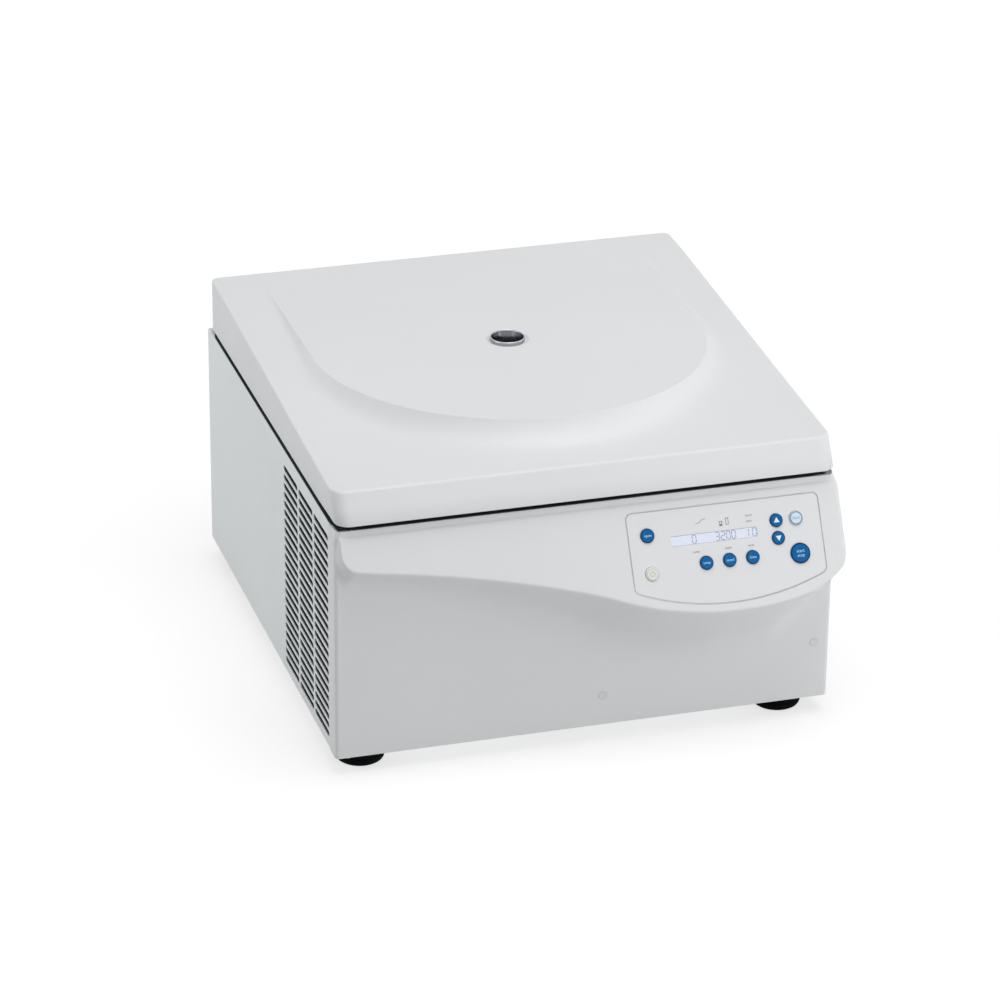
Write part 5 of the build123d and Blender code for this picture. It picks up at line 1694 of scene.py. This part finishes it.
# %% Materials of the remaining parts
FINISH = {
    STAINLESS: ["rotor_chamber", "motor_shaft", "motor_bearings", "trunnion_pins"],
    SHEET: ["hinge_pins", "latch_shaft"],
    PRIMER: ["guard_ring", "motor_magnet"],
    ANODISED: ["motor_housing"],
    ZINC: ["guard_posts"],
    COPPER: ["motor_stator"],
    RUBBER: ["shaft_seal", "motor_dampers"],
    BLACK: ["latch_motor"],
    BOARD: ["control_board", "power_board"],
}
for finish, names in FINISH.items():
    for name in names:
        slots = nodes[name].data.materials
        slots.clear()
        slots.append(finish)
print("finishes given to", sum(len(names) for names in FINISH.values()), "parts")

# %% [markdown]
# ## Camera
# One long lens, a little above the object and to its left, so that its upright edges stay nearly
# parallel. The three directions below are the camera's own right, up and ahead.

# %% Camera
camera_data = bpy.data.cameras.new("camera")
camera_data.lens = 153.933
camera_data.sensor_width = 36.0
camera = bpy.data.objects.new("camera", camera_data)
bpy.context.scene.collection.objects.link(camera)
right = Vector((0.95761524, -0.28788291, 0.00982203))
up = Vector((0.11270866, 0.40585844, 0.90695958))
ahead = Vector((0.26508452, 0.86741130, -0.42110313))
turned_to = Matrix((right, up, -ahead)).transposed().to_4x4()
camera.matrix_world = Matrix.Translation((-1.23492, -3.97755, 2.10149)) @ turned_to
camera_data.clip_end = 50
bpy.context.scene.camera = camera
print("camera lens:", camera_data.lens, "mm")

# %% [markdown]
# ## Floor and world
# The white round the object is not made with more light. The floor and the world are shown
# white only to rays that come straight from the camera, off a mirror or through glass; all other
# rays meet a plain light grey. The floor still darkens where the object shades it.

# %% Floor and world
WHITE = (1, 1, 1, 1)


def seen(pen):
    """1 for rays that show the background itself: direct, mirrored or through glass."""
    rays = pen.node("ShaderNodeLightPath").outputs
    mirrored = pen.math("MAXIMUM", rays["Is Glossy Ray"], rays["Is Transmission Ray"])
    return pen.math("MAXIMUM", rays["Is Camera Ray"], mirrored)


def floor_white():
    """Grey to the light, and nearly white to the eye, whiter farther from the object."""
    material, pen, shader, where = blank("floor_white")
    shown = seen(pen)
    away = pen.node("ShaderNodeVectorMath", {0: where}, operation="LENGTH").outputs["Value"]
    pen.fill(shader, {
        "Base Color": pen.mix(shown, srgb(197, 197, 197), srgb(168, 168, 168)),
        "Emission Color": WHITE,
        "Emission Strength": shown * pen.range(away, 0.7, 2.2, 0.70, 0.97),
        "Roughness": 0.9,
        "Specular IOR Level": 0.1,
    })
    return material


reach = 6       # metres from the middle to each edge
floor_mesh = bpy.data.meshes.new("floor")
floor_mesh.from_pydata([(x * reach, y * reach, 0) for x, y in ((-1, -1), (1, -1), (1, 1), (-1, 1))], [],
                       [(0, 1, 2, 3)])
floor_mesh.materials.append(floor_white())
floor = scratch(floor_mesh)
floor.name = "floor"

world = bpy.data.worlds.new("studio")
bpy.context.scene.world = world
world.use_nodes = True
pen = Shading(world.node_tree)
pen.fill(world.node_tree.nodes["Background"], {"Color": WHITE,
                                               "Strength": pen.range(seen(pen), 0, 1, 0.28, 1.0)})
print("floor and world ready")

# %% [markdown]
# ## Lamps
# A wide panel overhead gives the soft light from above. A panel on each side fills the flanks,
# and two long low strips light the upright walls without touching the top.

# %% Lamps
def lamp(name, place, aim, size, watts):
    """A rectangular panel of light, turned towards a point."""
    data = bpy.data.lights.new(name, "AREA")
    data.shape = "RECTANGLE"
    data.size, data.size_y = size
    data.energy = watts
    obj = bpy.data.objects.new(name, data)
    bpy.context.scene.collection.objects.link(obj)
    obj.location = place
    obj.rotation_euler = (Vector(aim) - Vector(place)).to_track_quat("-Z", "Y").to_euler()


lamp("overhead", (0.2, -0.3, 2.6), (0, 0, 0.3), (2.0, 2.0), 35.6)
lamp("left", (-2.6, -0.3, 1.3), (0, 0, 0.2), (1.6, 1.6), 10.6)
lamp("right", (2.6, -0.6, 1.5), (0, 0, 0.2), (1.6, 1.6), 6.0)
lamp("left_back_low", (-1.9, 1.6, 0.2), (0, 0, 0.15), (1.4, 0.26), 8.9)
lamp("right_front_low", (1.5, -2.2, 0.2), (0, 0, 0.15), (1.6, 0.26), 20.6)
bpy.context.scene.view_settings.view_transform = "Standard"
print("lamps:", len(bpy.data.lights))

# %% [markdown]
# ## Finish
# The view layer is brought up to date at the end.

# %% Finish
bpy.context.view_layer.update()
